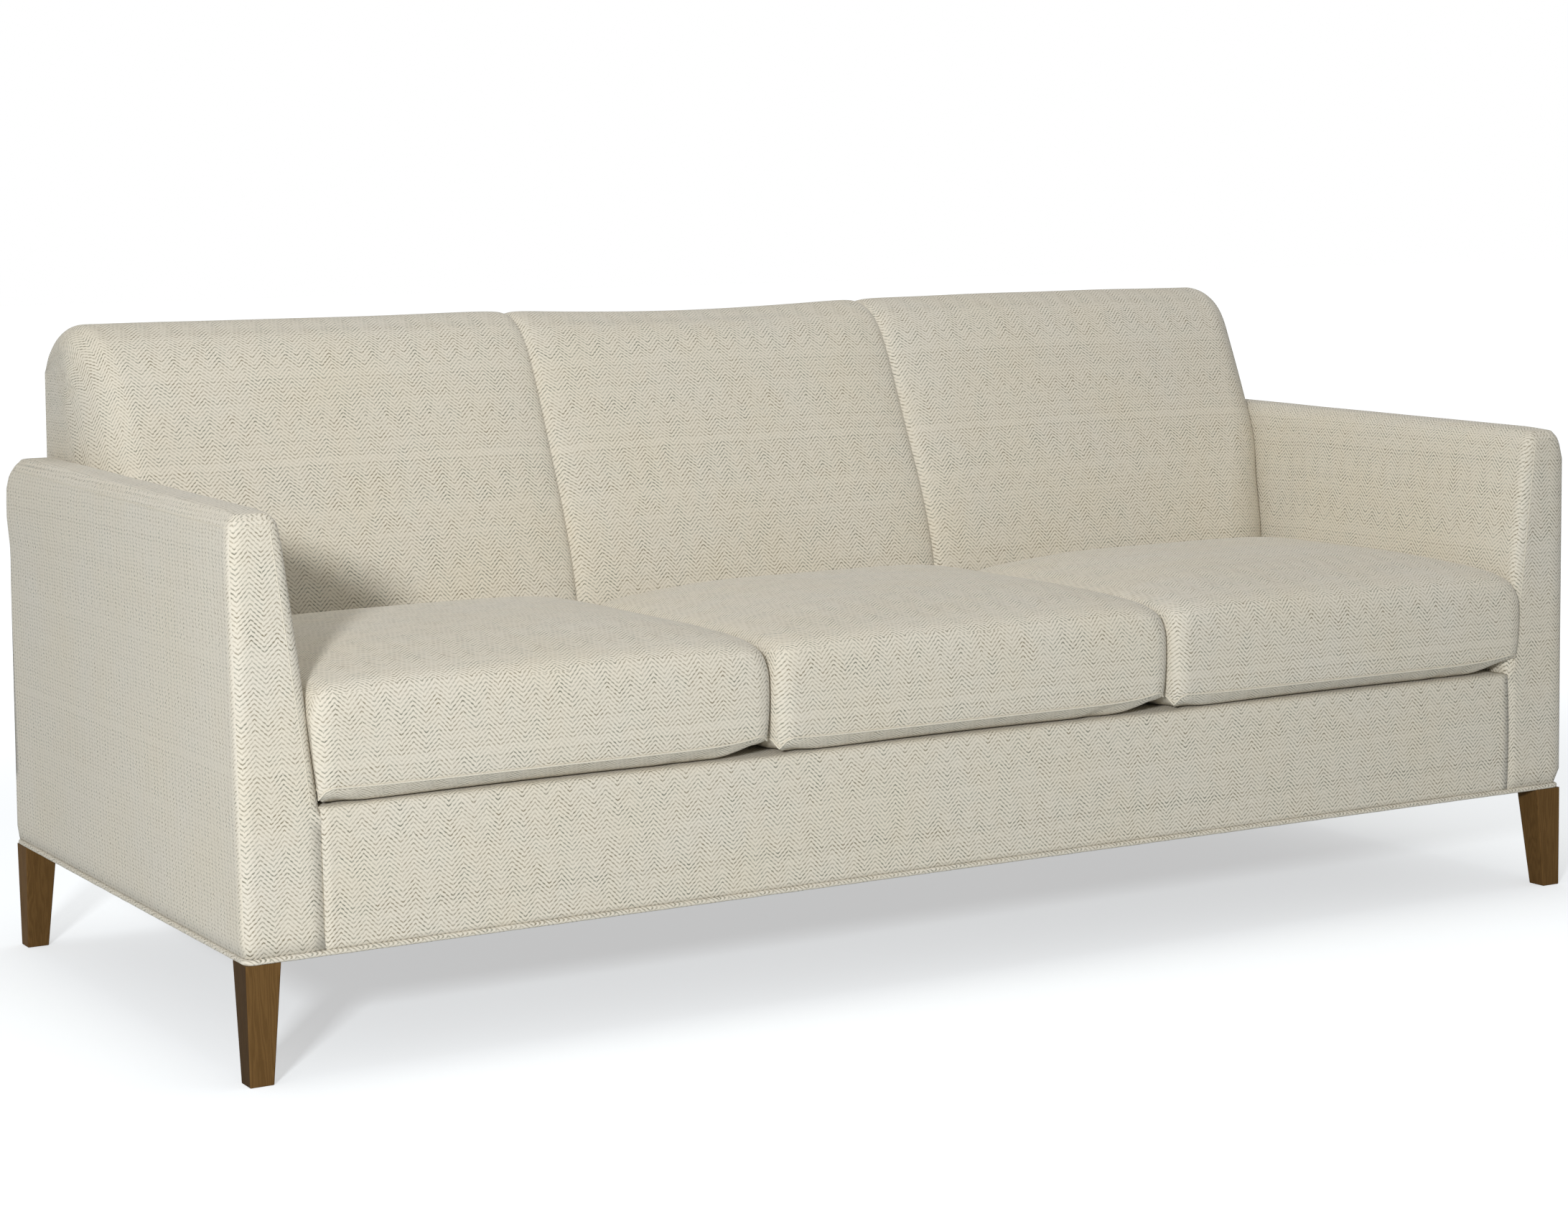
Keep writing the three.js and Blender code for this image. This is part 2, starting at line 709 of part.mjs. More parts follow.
const closedBack = () => [
  [backEdgeY - skin, backEdgeZ],
  [rearY(backFootZ) - skin, backFootZ],
];
const openBack = (profile) => [
  [rearY(0) + cutOverrun, backEdgeZ],
  [rearY(0) + cutOverrun, backFootZ - cutOverrun],
  [profile[0].x, backFootZ - cutOverrun],
];
const insideBack = wholeBack(0, closedBack).subtract(wholeBack(coverThickness, openBack));
add('inside_back_cover', insideBack, fabric);

// The front plane of the back frame leans from the deck to the top rail.
const frameFootY = backFrontY + backPadDepthDeck;
function frameFrontY(z) {
  const share = Math.max((z - deckHeight) / (topRailTopZ - deckHeight), 0);
  return frameFootY + share * (topRailFrontY - frameFootY);
}

const webbingFrontY = (z) => frameFrontY(z) - webbingThickness - 2 * fitGap;
const padBack = () => [
  [backEdgeY - skin, topRailTopZ + fitGap],
  [webbingFrontY(topRailTopZ), topRailTopZ + fitGap],
  [webbingFrontY(backFootZ) - fitGap, backFootZ],
];
seatNames.forEach((name, k) => {
  const pad = loft(backRings(k, skin, padBack, fitGap / 2), seenFromSide);
  add(`back_pad_${name}`, pad.intersect(betweenArms(skin)), foam);
});

const postOuterX = backHalfWidth(deckHeight) - skin - fitGap;
const lowerRailZ = deckHeight + lowerRailLift;
const lowerRailTopZ = lowerRailZ + lowerRailHeight;

// A board along the width that follows the leaning front plane of the frame.
function leaningBoard(near, far, halfWidth, z0, z1) {
  return alongX([
    [frameFrontY(z0) + near, z0],
    [frameFrontY(z0) + far, z0],
    [frameFrontY(z1) + far, z1],
    [frameFrontY(z1) + near, z1],
  ], -halfWidth, halfWidth);
}

add('back_lower_rail', leaningBoard(
  0, boardThickness, postOuterX, lowerRailZ, lowerRailTopZ,
), frameWood);
const lowerRailNotch = leaningBoard(
  -cutOverrun, boardThickness + fitGap, overallWidth,
  lowerRailZ - fitGap, lowerRailTopZ + fitGap,
);
add('back_webbing', leaningBoard(
  -webbingThickness - fitGap, -fitGap, postOuterX, lowerRailZ, topRailTopZ,
), webbing);
const topRailBottomZ = topRailTopZ - topRailThickness;
add('back_top_rail', block(
  -postOuterX, postOuterX,
  topRailFrontY, topRailFrontY + topRailDepth,
  topRailBottomZ, topRailTopZ,
), frameWood);

// Upright boards carry the back: two at the ends stand beside the seat rails, two in the middle
// stand on the cross rails.
function uprightBoard(x0, x1, footZ) {
  const headZ = topRailBottomZ - fitGap;
  const shelfZ = railTopZ + fitGap;
  return alongX([
    [frameFootY, footZ],
    [rearRailFrontY - fitGap, footZ],
    [rearRailFrontY - fitGap, shelfZ],
    [rearY(shelfZ) - skin, shelfZ],
    [rearY(headZ) - skin, headZ],
    [frameFrontY(headZ), headZ],
    [frameFootY, deckHeight],
  ], x0, x1).subtract(lowerRailNotch);
}

for (const [name, side] of sides) {
  const [x0, x1] = side < 0
    ? [-postOuterX, -postOuterX + boardThickness]
    : [postOuterX - boardThickness, postOuterX];
  add(`back_post_${name}`, uprightBoard(x0, x1, legHeight), frameWood);
  const middle = side * sectionSeamOffset;
  add(`back_upright_${name}`, uprightBoard(
    middle - boardThickness / 2, middle + boardThickness / 2, crossRailTopZ + fitGap,
  ), frameWood);
}

// The outside back is one panel from arm to arm, and narrower above the arms.
const armRearTopZ = armTopZ - armRearRadius;
const backTopHalfWidth = backHalfWidth(armHeightFront);
const outsideHalf = [
  [bodyHalfWidth, coverBottomZ],
  [bodyHalfWidth, armRearTopZ],
  [backTopHalfWidth, armRearTopZ],
  [backTopHalfWidth, backEdgeZ - fitGap],
];
const outsideOutline = [
  ...outsideHalf,
  ...outsideHalf.map(([x, z]) => [-x, z]).reverse(),
];
const outsideRing = (inset) => outsideOutline.map(([x, z]) => (
  new THREE.Vector3(x, rearY(z) - inset, z)
));
add('outside_back_cover', loft([outsideRing(0), outsideRing(coverThickness)], seenFromFront), fabric);

// A dark cloth closes the underside between the legs.
const dustX = bodyHalfWidth - dustCoverInset;
const dustFrontY = bodyFrontY + dustCoverInset;
const dustRearY = bodyRearY - dustCoverInset;
const notchX = legOuterX - legTopSize - weltRadius;
const notchFrontY = bodyFrontY - legProud + legTopSize + weltRadius;
const notchRearY = bodyRearY + legProud - legTopSize - weltRadius;
const dustHalf = [
  [notchX, dustFrontY],
  [notchX, notchFrontY],
  [dustX, notchFrontY],
  [dustX, notchRearY],
  [notchX, notchRearY],
  [notchX, dustRearY],
];
const dustOutline = [...dustHalf, ...dustHalf.map(([x, y]) => [-x, y]).reverse()];
add('dust_cover', upwards(dustOutline, legTopZ - dustCoverThickness, legTopZ), blackCloth);

// A thin welt of the same fabric runs round the bottom edge and meets itself at the rear.
const weltArcSteps = 3;
const weltCorners = [[1, 1], [1, -1], [-1, -1], [-1, 1]];
const weltPoints = [[fitGap / 2, bodyRearY]];
for (const [i, [sx, sy]] of weltCorners.entries()) {
  const middleX = sx * (bodyHalfWidth - weltCornerRadius);
  const middleY = (sy > 0 ? bodyRearY : bodyFrontY) - sy * weltCornerRadius;
  for (let k = 0; k <= weltArcSteps; k++) {
    const angle = Math.PI / 2 - (i + k / weltArcSteps) * (Math.PI / 2);
    weltPoints.push([
      middleX + weltCornerRadius * Math.cos(angle),
      middleY + weltCornerRadius * Math.sin(angle),
    ]);
  }
}
weltPoints.push([-fitGap / 2, bodyRearY]);
const weltPath = weltPoints.map(([x, y]) => new THREE.Vector3(x, y, legHeight + weltRadius));
add('bottom_welt', wire(weltPath, weltRadius, weltSides), fabric);

// Seat cushions

const cushionFrontY = -overallDepth / 2;
const backFrontAt = (z) => {
  const k = backProfile.findIndex((point) => point.y > z);
  const [low, high] = [backProfile[k - 1], backProfile[k]];
  return low.x + ((z - low.y) / (high.y - low.y)) * (high.x - low.x);
};
const cushionRearY = backFrontAt(boxingMiddleZ) - zipRoom;
const cushionMiddleY = (cushionFrontY + cushionRearY) / 2;
const cushionHalfDepth = (cushionRearY - cushionFrontY) / 2;
const cornerSteps = 3;
const sidePointShares = [0.2, 0.4, 0.6, 0.8];

// The outline of a cushion seen from above. Its front and sides draw in between the corners.
function cushionOutline(inset, drawIn) {
  const halfX = cushionWidth / 2 - inset;
  const halfY = cushionHalfDepth - inset;
  const radius = cushionCornerRadius - Math.min(inset, cushionCornerRadius / 2);
  const corners = [[1, 1], [-1, 1], [-1, -1], [1, -1]];
  return corners.flatMap(([sx, sy], i) => {
    const arc = Array.from({ length: cornerSteps + 1 }, (_, k) => {
      const angle = (i + k / cornerSteps) * (Math.PI / 2);
      return [
        sx * (halfX - radius) + radius * Math.cos(angle),
        sy * (halfY - radius) + radius * Math.sin(angle),
      ];
    });
    const [nextX, nextY] = corners[(i + 1) % 4];
    const from = arc.at(-1);
    const isRear = i === 0;
    const to = i % 2 === 0
      ? [nextX * (halfX - radius), from[1]]
      : [from[0], nextY * (halfY - radius)];
    const side = sidePointShares.map((share) => {
      const amount = isRear ? 0 : drawIn * (1 - (2 * share - 1) ** 2);
      const x = from[0] + share * (to[0] - from[0]);
      const y = from[1] + share * (to[1] - from[1]);
      return i % 2 === 0 ? [x, y - Math.sign(y) * amount] : [x - Math.sign(x) * amount, y];
    });
    return [...arc, ...side];
  });
}

// Rings over the top of a cushion, as shares of its outline, and under it as share and depth.
const crownRingShares = [0.9, 0.68, 0.42, 0.18];
const crownFullness = 2.6;
const underRingShares = [[0.9, 1], [0.965, 0.62]];

// The arm's face is further out the higher it is, and the cushion beside it fills that space.
function armSideStretch(k, x, z) {
  const besideArm = (k === 0 && x < 0) || (k === seatCount - 1 && x > 0);
  const widening = armInnerX(Math.min(z, seamHighZ)) - armInnerX(boxingMiddleZ);
  return besideArm ? 1 + widening / (cushionWidth / 2) : 1;
}

function cushionSolid(k, inset) {
  const ring = (share, edge, z) => (
    cushionOutline(edge + inset, cushionDrawIn).map(([x, y]) => new THREE.Vector3(
      seatMiddleX(k) + share * armSideStretch(k, x, z) * x,
      cushionMiddleY + share * y,
      z,
    ))
  );
  const under = (depth) => seamLowZ - depth * (cushionUnderDepth - fitGap) + inset;
  const over = (share) => seamHighZ + cushionCrown * (1 - share ** crownFullness) - inset;
  return loft([
    ...underRingShares.map(([share, depth]) => ring(share, cushionSeamInset, under(depth))),
    ring(1, cushionSeamInset, seamLowZ + inset),
    ring(1, 0, boxingMiddleZ),
    ring(1, cushionSeamInset, seamHighZ - inset),
    ...crownRingShares.map((share) => ring(share, cushionSeamInset, over(share))),
  ], seenFromTop);
}

seatNames.forEach((name, k) => {
  const middleX = seatMiddleX(k);
  const outer = cushionSolid(k, 0);
  const inner = cushionSolid(k, cushionCoverThickness);
  const teeth = block(
    middleX - zipLength / 2, middleX + zipLength / 2,
    cushionRearY - cushionCoverThickness / 2, cushionRearY + zipTeethProud,
    boxingMiddleZ - zipTeethHeight / 2, boxingMiddleZ + zipTeethHeight / 2,
  );
  const slit = block(
    middleX - zipLength / 2 + zipTeethHeight, middleX + zipLength / 2 - zipTeethHeight,
    cushionRearY - cutOverrun, cushionRearY + cutOverrun,
    boxingMiddleZ - zipSlit / 2, boxingMiddleZ + zipSlit / 2,
  );
  add(`seat_cushion_cover_${name}`, outer.add(teeth).subtract(inner).subtract(slit), fabric);
  add(`seat_cushion_core_${name}`, cushionSolid(k, cushionCoverThickness + fitGap), foam);

  const sliderX = middleX - zipLength / 2 + zipTabLength + fitGap;
  const sliderY = cushionRearY + zipTeethProud + fitGap;
  const slider = block(
    sliderX, sliderX + zipSliderLength,
    sliderY, sliderY + zipSliderThickness,
    boxingMiddleZ - zipSliderHeight / 2, boxingMiddleZ + zipSliderHeight / 2,
  );
  const tab = block(
    sliderX - zipTabLength, sliderX + zipSliderLength / 2,
    sliderY, sliderY + zipTabThickness,
    boxingMiddleZ - zipTabHeight / 2, boxingMiddleZ + zipTabHeight / 2,
  );
  add(`zip_slider_${name}`, slider.add(tab), zipMetal);
});

export default sofa;
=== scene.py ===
# %% [markdown]
# # A three-seat sofa, dressed for its portrait
# The bench work is done: a carpenter's model of the sofa already holds every board, leg, spring and
# cushion at its true size. This lesson puts the looks on that model. We sew the covers, blow up the
# cushions, turn the legs and weave the fabric. Every piece is placed from the model's own sizes, so
# nothing has to be fitted afterwards. All lengths are in metres, +Z is up and the front faces -Y.

# %% Load the model
import math

import bmesh
import bpy
from mathutils import Matrix, Vector, noise
from mathutils.bvhtree import BVHTree


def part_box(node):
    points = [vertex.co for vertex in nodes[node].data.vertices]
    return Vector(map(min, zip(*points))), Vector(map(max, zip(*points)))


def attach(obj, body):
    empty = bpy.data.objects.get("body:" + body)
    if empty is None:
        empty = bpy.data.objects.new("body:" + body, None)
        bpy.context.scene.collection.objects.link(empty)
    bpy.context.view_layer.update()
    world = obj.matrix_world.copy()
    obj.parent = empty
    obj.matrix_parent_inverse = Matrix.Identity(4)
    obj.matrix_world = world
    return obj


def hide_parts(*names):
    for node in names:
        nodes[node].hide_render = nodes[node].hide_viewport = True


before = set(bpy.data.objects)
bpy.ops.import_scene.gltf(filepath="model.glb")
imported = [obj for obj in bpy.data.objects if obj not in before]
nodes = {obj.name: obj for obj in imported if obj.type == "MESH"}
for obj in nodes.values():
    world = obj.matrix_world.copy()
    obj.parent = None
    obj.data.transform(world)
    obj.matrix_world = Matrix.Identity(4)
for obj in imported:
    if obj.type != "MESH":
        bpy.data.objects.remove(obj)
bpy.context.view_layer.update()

MM = 0.001

# %% [markdown]
# ## The camera
# A portrait has to be taken from the same spot as the photograph. The spot, the direction and the
# focal length were found by lining up the sofa's corners, so they are plain numbers here. The
# direction is built from three angles: the turn away from the front, the tilt down and a small roll.

# %% Camera
PHOTO_WIDTH = 2184
FOCAL_PIXELS = 4478.9
SENSOR_WIDTH_MM = 36
CAMERA_PLACE = Vector((-2.2709, -3.9413, 0.9934))
CAMERA_TURN = math.radians(29.621)
CAMERA_TILT = math.radians(6.845)
CAMERA_ROLL = math.radians(-1.075)


def aim(turn, tilt, roll):
    """The rotation of a camera that looks along +Y, turned to +X, tilted down and rolled."""
    forward = Vector((
        math.sin(turn) * math.cos(tilt), math.cos(turn) * math.cos(tilt), -math.sin(tilt),
    ))
    right = Vector((math.cos(turn), -math.sin(turn), 0))
    up = right.cross(forward)
    rolled_right = math.cos(roll) * right + math.sin(roll) * up
    rolled_up = math.cos(roll) * up - math.sin(roll) * right
    return Matrix((rolled_right, rolled_up, -forward)).transposed().to_4x4()


camera = bpy.data.objects.new("camera", bpy.data.cameras.new("camera"))
bpy.context.scene.collection.objects.link(camera)
camera.data.sensor_width = SENSOR_WIDTH_MM
camera.data.lens = FOCAL_PIXELS * SENSOR_WIDTH_MM / PHOTO_WIDTH
camera.matrix_world = Matrix.Translation(CAMERA_PLACE) @ aim(CAMERA_TURN, CAMERA_TILT, CAMERA_ROLL)
bpy.context.scene.camera = camera
print("camera lens:", round(camera.data.lens, 2), "mm")

# %% [markdown]
# ## Small helpers for shader nodes
# Materials are graphs of nodes. Two short helpers keep the graphs readable: one adds a node with its
# inputs filled in, and one adds a sum or a product. A value that another node gives is passed in as
# that node's output socket, and a plain number goes straight on the socket.


# %% Node helpers
def add_node(tree, kind, inputs=None, **settings):
    """Adds a shader node, sets its settings, and fills or links its inputs."""
    node = tree.nodes.new(kind)
    for name, value in settings.items():
        setattr(node, name, value)
    for name, value in (inputs or {}).items():
        if isinstance(value, bpy.types.NodeSocket):
            tree.links.new(value, node.inputs[name])
        else:
            node.inputs[name].default_value = value
    return node


def calculate(tree, operation, *values):
    """A Math node's output: SINE, MULTIPLY, ADD and so on."""
    inputs = dict(enumerate(values))
    return add_node(tree, "ShaderNodeMath", inputs, operation=operation).outputs[0]


def plus(tree, first, second):
    return calculate(tree, "ADD", first, second)


def times(tree, first, second):
    return calculate(tree, "MULTIPLY", first, second)


def blend_colors(tree, share, first, second):
    """The first colour turning into the second as share goes from 0 to 1."""
    node = add_node(tree, "ShaderNodeMix", data_type="RGBA")
    for socket, value in ((node.inputs[0], share), (node.inputs[6], first), (node.inputs[7], second)):
        if isinstance(value, bpy.types.NodeSocket):
            tree.links.new(value, socket)
        else:
            socket.default_value = value
    return node.outputs[2]


def smooth_step(tree, value, low, high):
    """0 below low, 1 above high, and an S-shaped rise between them."""
    node = add_node(tree, "ShaderNodeMapRange", {"Value": value, "From Min": low, "From Max": high})
    node.interpolation_type = "SMOOTHSTEP"
    return node.outputs["Result"]


def linear(red, green, blue):
    """A screen colour from 0 to 255 as the linear colour that shaders use."""
    def channel(value):
        share = value / 255
        return share / 12.92 if share <= 0.04045 else ((share + 0.055) / 1.055) ** 2.4
    return (channel(red), channel(green), channel(blue), 1.0)


def new_group(name, inputs, outputs):
    """An empty shader node group with named sockets, and its two end nodes."""
    group = bpy.data.node_groups.new(name, "ShaderNodeTree")
    for socket, kind, value in inputs:
        made = group.interface.new_socket(socket, in_out="INPUT", socket_type=kind)
        if value is not None:
            made.default_value = value
    for socket, kind in outputs:
        group.interface.new_socket(socket, in_out="OUTPUT", socket_type=kind)
    return group, group.nodes.new("NodeGroupInput"), group.nodes.new("NodeGroupOutput")


# %% [markdown]
# ## The weave
# The cover is a herringbone: warp and weft cross so that short dark floats line up on slopes, which
# turn back every 16 mm and draw a row of zigzags. The group below builds it from the fabric's own
# coordinates, which every piece carries in metres. A ping-pong of the across coordinate makes the
# zigzag, a wave along it makes the rows, a finer wave cuts the rows into floats, and a random value
# for each float makes some yarns pale and some dark, as a melange yarn does.

# %% The weave group
FLOAT, COLOR, VECTOR = "NodeSocketFloat", "NodeSocketColor", "NodeSocketVector"
YARN_WOBBLE = 0.0046
WARP_PER_WEFT = 2.4
WEFT_STRENGTH = 0.36
SLUB_STRENGTH = 1.6
WOBBLE_NOISE, PATCH_NOISE, BROAD_NOISE, SLUB_NOISE = (22.0, 2.0), (34.0, 2.0), (7.0, 1.0), (700.0, 2.0)


def make_weave_group():
    group, start, end = new_group(
        "herringbone_weave",
        [("Fabric Place", VECTOR, None), ("Zigzag Width", FLOAT, 0.032), ("Row Spacing", FLOAT, 0.0061),
         ("Weft Spacing", FLOAT, 0.0046), ("Slope", FLOAT, 1.0), ("Zigzag Amount", FLOAT, 1.0),
         ("Grid Amount", FLOAT, 0.0), ("Contrast", FLOAT, 1.02), ("Pale Yarn", COLOR, None),
         ("Dark Yarn", COLOR, None), ("Cool Yarn", COLOR, None)],
        [("Color", COLOR), ("Height", FLOAT), ("Roughness", FLOAT)])
    given = start.outputs
    place = given["Fabric Place"]

    def noise_of(scale_and_detail):
        scale, detail = scale_and_detail
        return add_node(group, "ShaderNodeTexNoise", {"Vector": place, "Scale": scale, "Detail": detail})

    def wave(value):
        return calculate(group, "COSINE", times(group, value, math.tau))

    # The place on the cloth, counted in rows, weft yarns and warp yarns.
    wobble = calculate(group, "SUBTRACT", noise_of(WOBBLE_NOISE).outputs[0], 0.5)
    drift = times(group, wobble, YARN_WOBBLE)
    parts = add_node(group, "ShaderNodeSeparateXYZ", {"Vector": place})
    across = plus(group, parts.outputs[0], drift)
    zigzag = calculate(group, "PINGPONG", across, times(group, given["Zigzag Width"], 0.5))
    rise = times(group, zigzag, given["Slope"])
    along = plus(group, plus(group, parts.outputs[1], rise), drift)
    row = calculate(group, "DIVIDE", along, given["Row Spacing"])
    weft = calculate(group, "DIVIDE", plus(group, parts.outputs[1], drift), given["Weft Spacing"])
    warp = calculate(group, "DIVIDE", across, times(group, given["Weft Spacing"], WARP_PER_WEFT))

    # Where a dark float shows, and how dark it is.
    row_wave = times(group, wave(row), given["Zigzag Amount"])
    warp_wave = times(group, wave(warp), given["Grid Amount"])
    ridge = plus(group, plus(group, row_wave, warp_wave), times(group, wave(weft), WEFT_STRENGTH))
    slub = noise_of(SLUB_NOISE).outputs[0]
    uneven = times(group, calculate(group, "SUBTRACT", slub, 0.5), SLUB_STRENGTH)
    dark = smooth_step(group, plus(group, ridge, uneven), -0.1, 1.3)
    cell = add_node(group, "ShaderNodeCombineXYZ", {
        0: calculate(group, "ROUND", weft), 1: calculate(group, "ROUND", row)})
    chance = add_node(group, "ShaderNodeTexWhiteNoise", {"Vector": cell.outputs[0]})
    patch = noise_of(PATCH_NOISE)
    by_chance = times(group, chance.outputs["Value"], 0.45)
    by_patch = times(group, smooth_step(group, patch.outputs[0], 0.35, 0.7), 0.3)
    strength = plus(group, plus(group, by_chance, by_patch), 0.3)
    dark_share = times(group, times(group, dark, strength), given["Contrast"])

    # The colours, the relief and the roughness.
    hue = smooth_step(group, patch.outputs["Color"], 0.42, 0.6)
    dark_color = blend_colors(group, hue, given["Dark Yarn"], given["Cool Yarn"])
    broad = noise_of(BROAD_NOISE).outputs[0]
    pale_shift = add_node(group, "ShaderNodeHueSaturation", {
        "Color": given["Pale Yarn"],
        "Saturation": plus(group, times(group, broad, 0.4), 0.8),
        "Value": plus(group, times(group, patch.outputs[0], 0.1), 0.95)})
    color = blend_colors(group, dark_share, pale_shift.outputs[0], dark_color)
    height = calculate(group, "SUBTRACT", times(group, slub, 0.35), times(group, dark, 0.8))
    group.links.new(color, end.inputs["Color"])
    group.links.new(height, end.inputs["Height"])
    group.links.new(plus(group, times(group, dark_share, 0.08), 0.86), end.inputs["Roughness"])
    return group


weave_group = make_weave_group()
print("weave group:", len(weave_group.nodes), "nodes")

# %% [markdown]
# ## Finishes
# Each finish gets a material of its own around the shared groups. Cloth is rough and has a sheen from
# its loose fibres, stained wood has a grain and a satin varnish, and the metal of the springs and
# zips is drawn wire or plated brass. Values that don't change over a surface sit on the shader's own
# sockets.

# %% Material helper
FABRIC_MAP = "fabric"


def new_material(name):
    """A material with a Principled shader: its node tree and that shader."""
    material = bpy.data.materials.new(name)
    material.use_nodes = True
    shader = material.node_tree.nodes["Principled BSDF"]
    return material, material.node_tree, shader


def set_shader(shader, **values):
    """Fills sockets by name, with spaces written as underscores."""
    for name, value in values.items():
        shader.inputs[name.replace("_", " ")].default_value = value


# %% Upholstery fabric
PALE_YARN = linear(223, 216, 200)
DARK_YARN = linear(134, 125, 104)
COOL_YARN = linear(126, 127, 113)
FABRIC_RELIEF = 0.6 * MM


def make_fabric(name, zigzag_amount=1.0, grid_amount=0.0, contrast=1.02):
    material, tree, shader = new_material(name)
    place = add_node(tree, "ShaderNodeUVMap", uv_map=FABRIC_MAP)
    weave = add_node(tree, "ShaderNodeGroup", {
        "Fabric Place": place.outputs[0], "Zigzag Amount": zigzag_amount, "Grid Amount": grid_amount,
        "Contrast": contrast, "Pale Yarn": PALE_YARN, "Dark Yarn": DARK_YARN, "Cool Yarn": COOL_YARN,
    }, node_tree=weave_group)
    bump = add_node(tree, "ShaderNodeBump", {
        "Strength": 0.6, "Distance": FABRIC_RELIEF, "Height": weave.outputs["Height"]})
    tree.links.new(weave.outputs["Color"], shader.inputs["Base Color"])
    tree.links.new(weave.outputs["Roughness"], shader.inputs["Roughness"])
    tree.links.new(bump.outputs[0], shader.inputs["Normal"])
    set_shader(shader, Sheen_Weight=0.12, Sheen_Roughness=0.5, Specular_IOR_Level=0.15)
    return material


fabric = make_fabric("cream_herringbone")
side_fabric = make_fabric("cream_herringbone_outside", zigzag_amount=0.6, grid_amount=0.4, contrast=0.85)


# %% Wood
def make_wood_group():
    """Long grain along one axis: streaks, rings and pores."""
    group, start, end = new_group(
        "wood_grain",
        [("Place", VECTOR, None), ("Early Wood", COLOR, None), ("Late Wood", COLOR, None),
         ("Grain Scale", FLOAT, 1.0)],
        [("Color", COLOR), ("Height", FLOAT)],
    )
    place = add_node(group, "ShaderNodeVectorMath", {
        0: start.outputs["Place"], "Scale": start.outputs["Grain Scale"]}, operation="SCALE").outputs[0]
    warp = add_node(group, "ShaderNodeTexNoise", {"Vector": place, "Scale": 3.0, "Detail": 2.0})
    bent = add_node(group, "ShaderNodeVectorMath", {
        0: place, 1: warp.outputs["Color"]}, operation="ADD").outputs[0]
    rings = add_node(group, "ShaderNodeTexWave", {
        "Vector": bent, "Scale": 2.2, "Distortion": 3.5, "Detail": 3.0, "Detail Scale": 1.4})
    pores = add_node(group, "ShaderNodeTexNoise", {"Vector": place, "Scale": 38.0, "Detail": 4.0})
    share = plus(group, times(group, rings.outputs["Fac"], 0.55), times(group, pores.outputs[0], 0.45))
    color = blend_colors(group, share, start.outputs["Early Wood"], start.outputs["Late Wood"])
    group.links.new(color, end.inputs["Color"])
    group.links.new(share, end.inputs["Height"])
    return group


wood_group = make_wood_group()


def make_wood(name, early, late, stretch, roughness, relief, gloss=0.5):
    """A wood whose grain runs along the axis with the smallest stretch."""
    material, tree, shader = new_material(name)
    place = add_node(tree, "ShaderNodeTexCoord").outputs["Object"]
    scaled = add_node(tree, "ShaderNodeMapping", {"Vector": place, "Scale": stretch}).outputs[0]
    grain = add_node(tree, "ShaderNodeGroup", {
        "Place": scaled, "Early Wood": early, "Late Wood": late}, node_tree=wood_group)
    bump = add_node(tree, "ShaderNodeBump", {
        "Strength": 0.25, "Distance": relief, "Height": grain.outputs["Height"]})
    tree.links.new(grain.outputs["Color"], shader.inputs["Base Color"])
    tree.links.new(bump.outputs[0], shader.inputs["Normal"])
    mottle = add_node(tree, "ShaderNodeTexNoise", {"Vector": place, "Scale": 22.0})
    rough = add_node(tree, "ShaderNodeMapRange", {
        "Value": mottle.outputs[0], "To Min": roughness - 0.06, "To Max": roughness + 0.06})
    tree.links.new(rough.outputs[0], shader.inputs["Roughness"])
    set_shader(shader, Specular_IOR_Level=gloss)
    return material


LEG_GRAIN = (26, 26, 2.4)
BEECH = (linear(214, 184, 138), linear(186, 150, 102))
leg_wood = make_wood(
    "walnut_stain", linear(112, 84, 48), linear(92, 67, 36), LEG_GRAIN, 0.55, 0.2 * MM, gloss=0.06)
# A darker copy of the walnut: painted shade for the outer side of the front left leg.
leg_wood_painted_shade = make_wood(
    "walnut_stain_painted_shade", linear(76, 56, 32), linear(64, 47, 27), LEG_GRAIN, 0.55, 0.2 * MM, gloss=0.06)
rail_wood = make_wood("frame_beech", *BEECH, (2, 24, 24), 0.7, 0.3 * MM)
post_wood = make_wood("frame_beech_upright", *BEECH, (24, 24, 2), 0.7, 0.3 * MM)
side_wood = make_wood("frame_beech_side", *BEECH, (24, 2, 24), 0.7, 0.3 * MM)


# %% Metal, foam, webbing and dust cloth
def make_speckled(
        name, first, second, scale, roughness, metallic=0.0, relief=0.2 * MM, stretch=(1, 1, 1)):
    """A finish that varies between two colours with a fine noise, which also lifts the surface."""
    material, tree, shader = new_material(name)
    place = add_node(tree, "ShaderNodeTexCoord").outputs["Object"]
    scaled = add_node(tree, "ShaderNodeMapping", {"Vector": place, "Scale": stretch}).outputs[0]
    grain = add_node(tree, "ShaderNodeTexNoise", {"Vector": scaled, "Scale": scale, "Detail": 4.0})
    share = smooth_step(tree, grain.outputs[0], 0.3, 0.7)
    tree.links.new(blend_colors(tree, share, first, second), shader.inputs["Base Color"])
    rough = add_node(tree, "ShaderNodeMapRange", {
        "Value": grain.outputs[0], "To Min": roughness - 0.08, "To Max": min(roughness + 0.08, 1)})
    tree.links.new(rough.outputs[0], shader.inputs["Roughness"])
    bump = add_node(tree, "ShaderNodeBump", {
        "Strength": 0.5, "Distance": relief, "Height": grain.outputs[0]})
    tree.links.new(bump.outputs[0], shader.inputs["Normal"])
    set_shader(shader, Metallic=metallic)
    return material


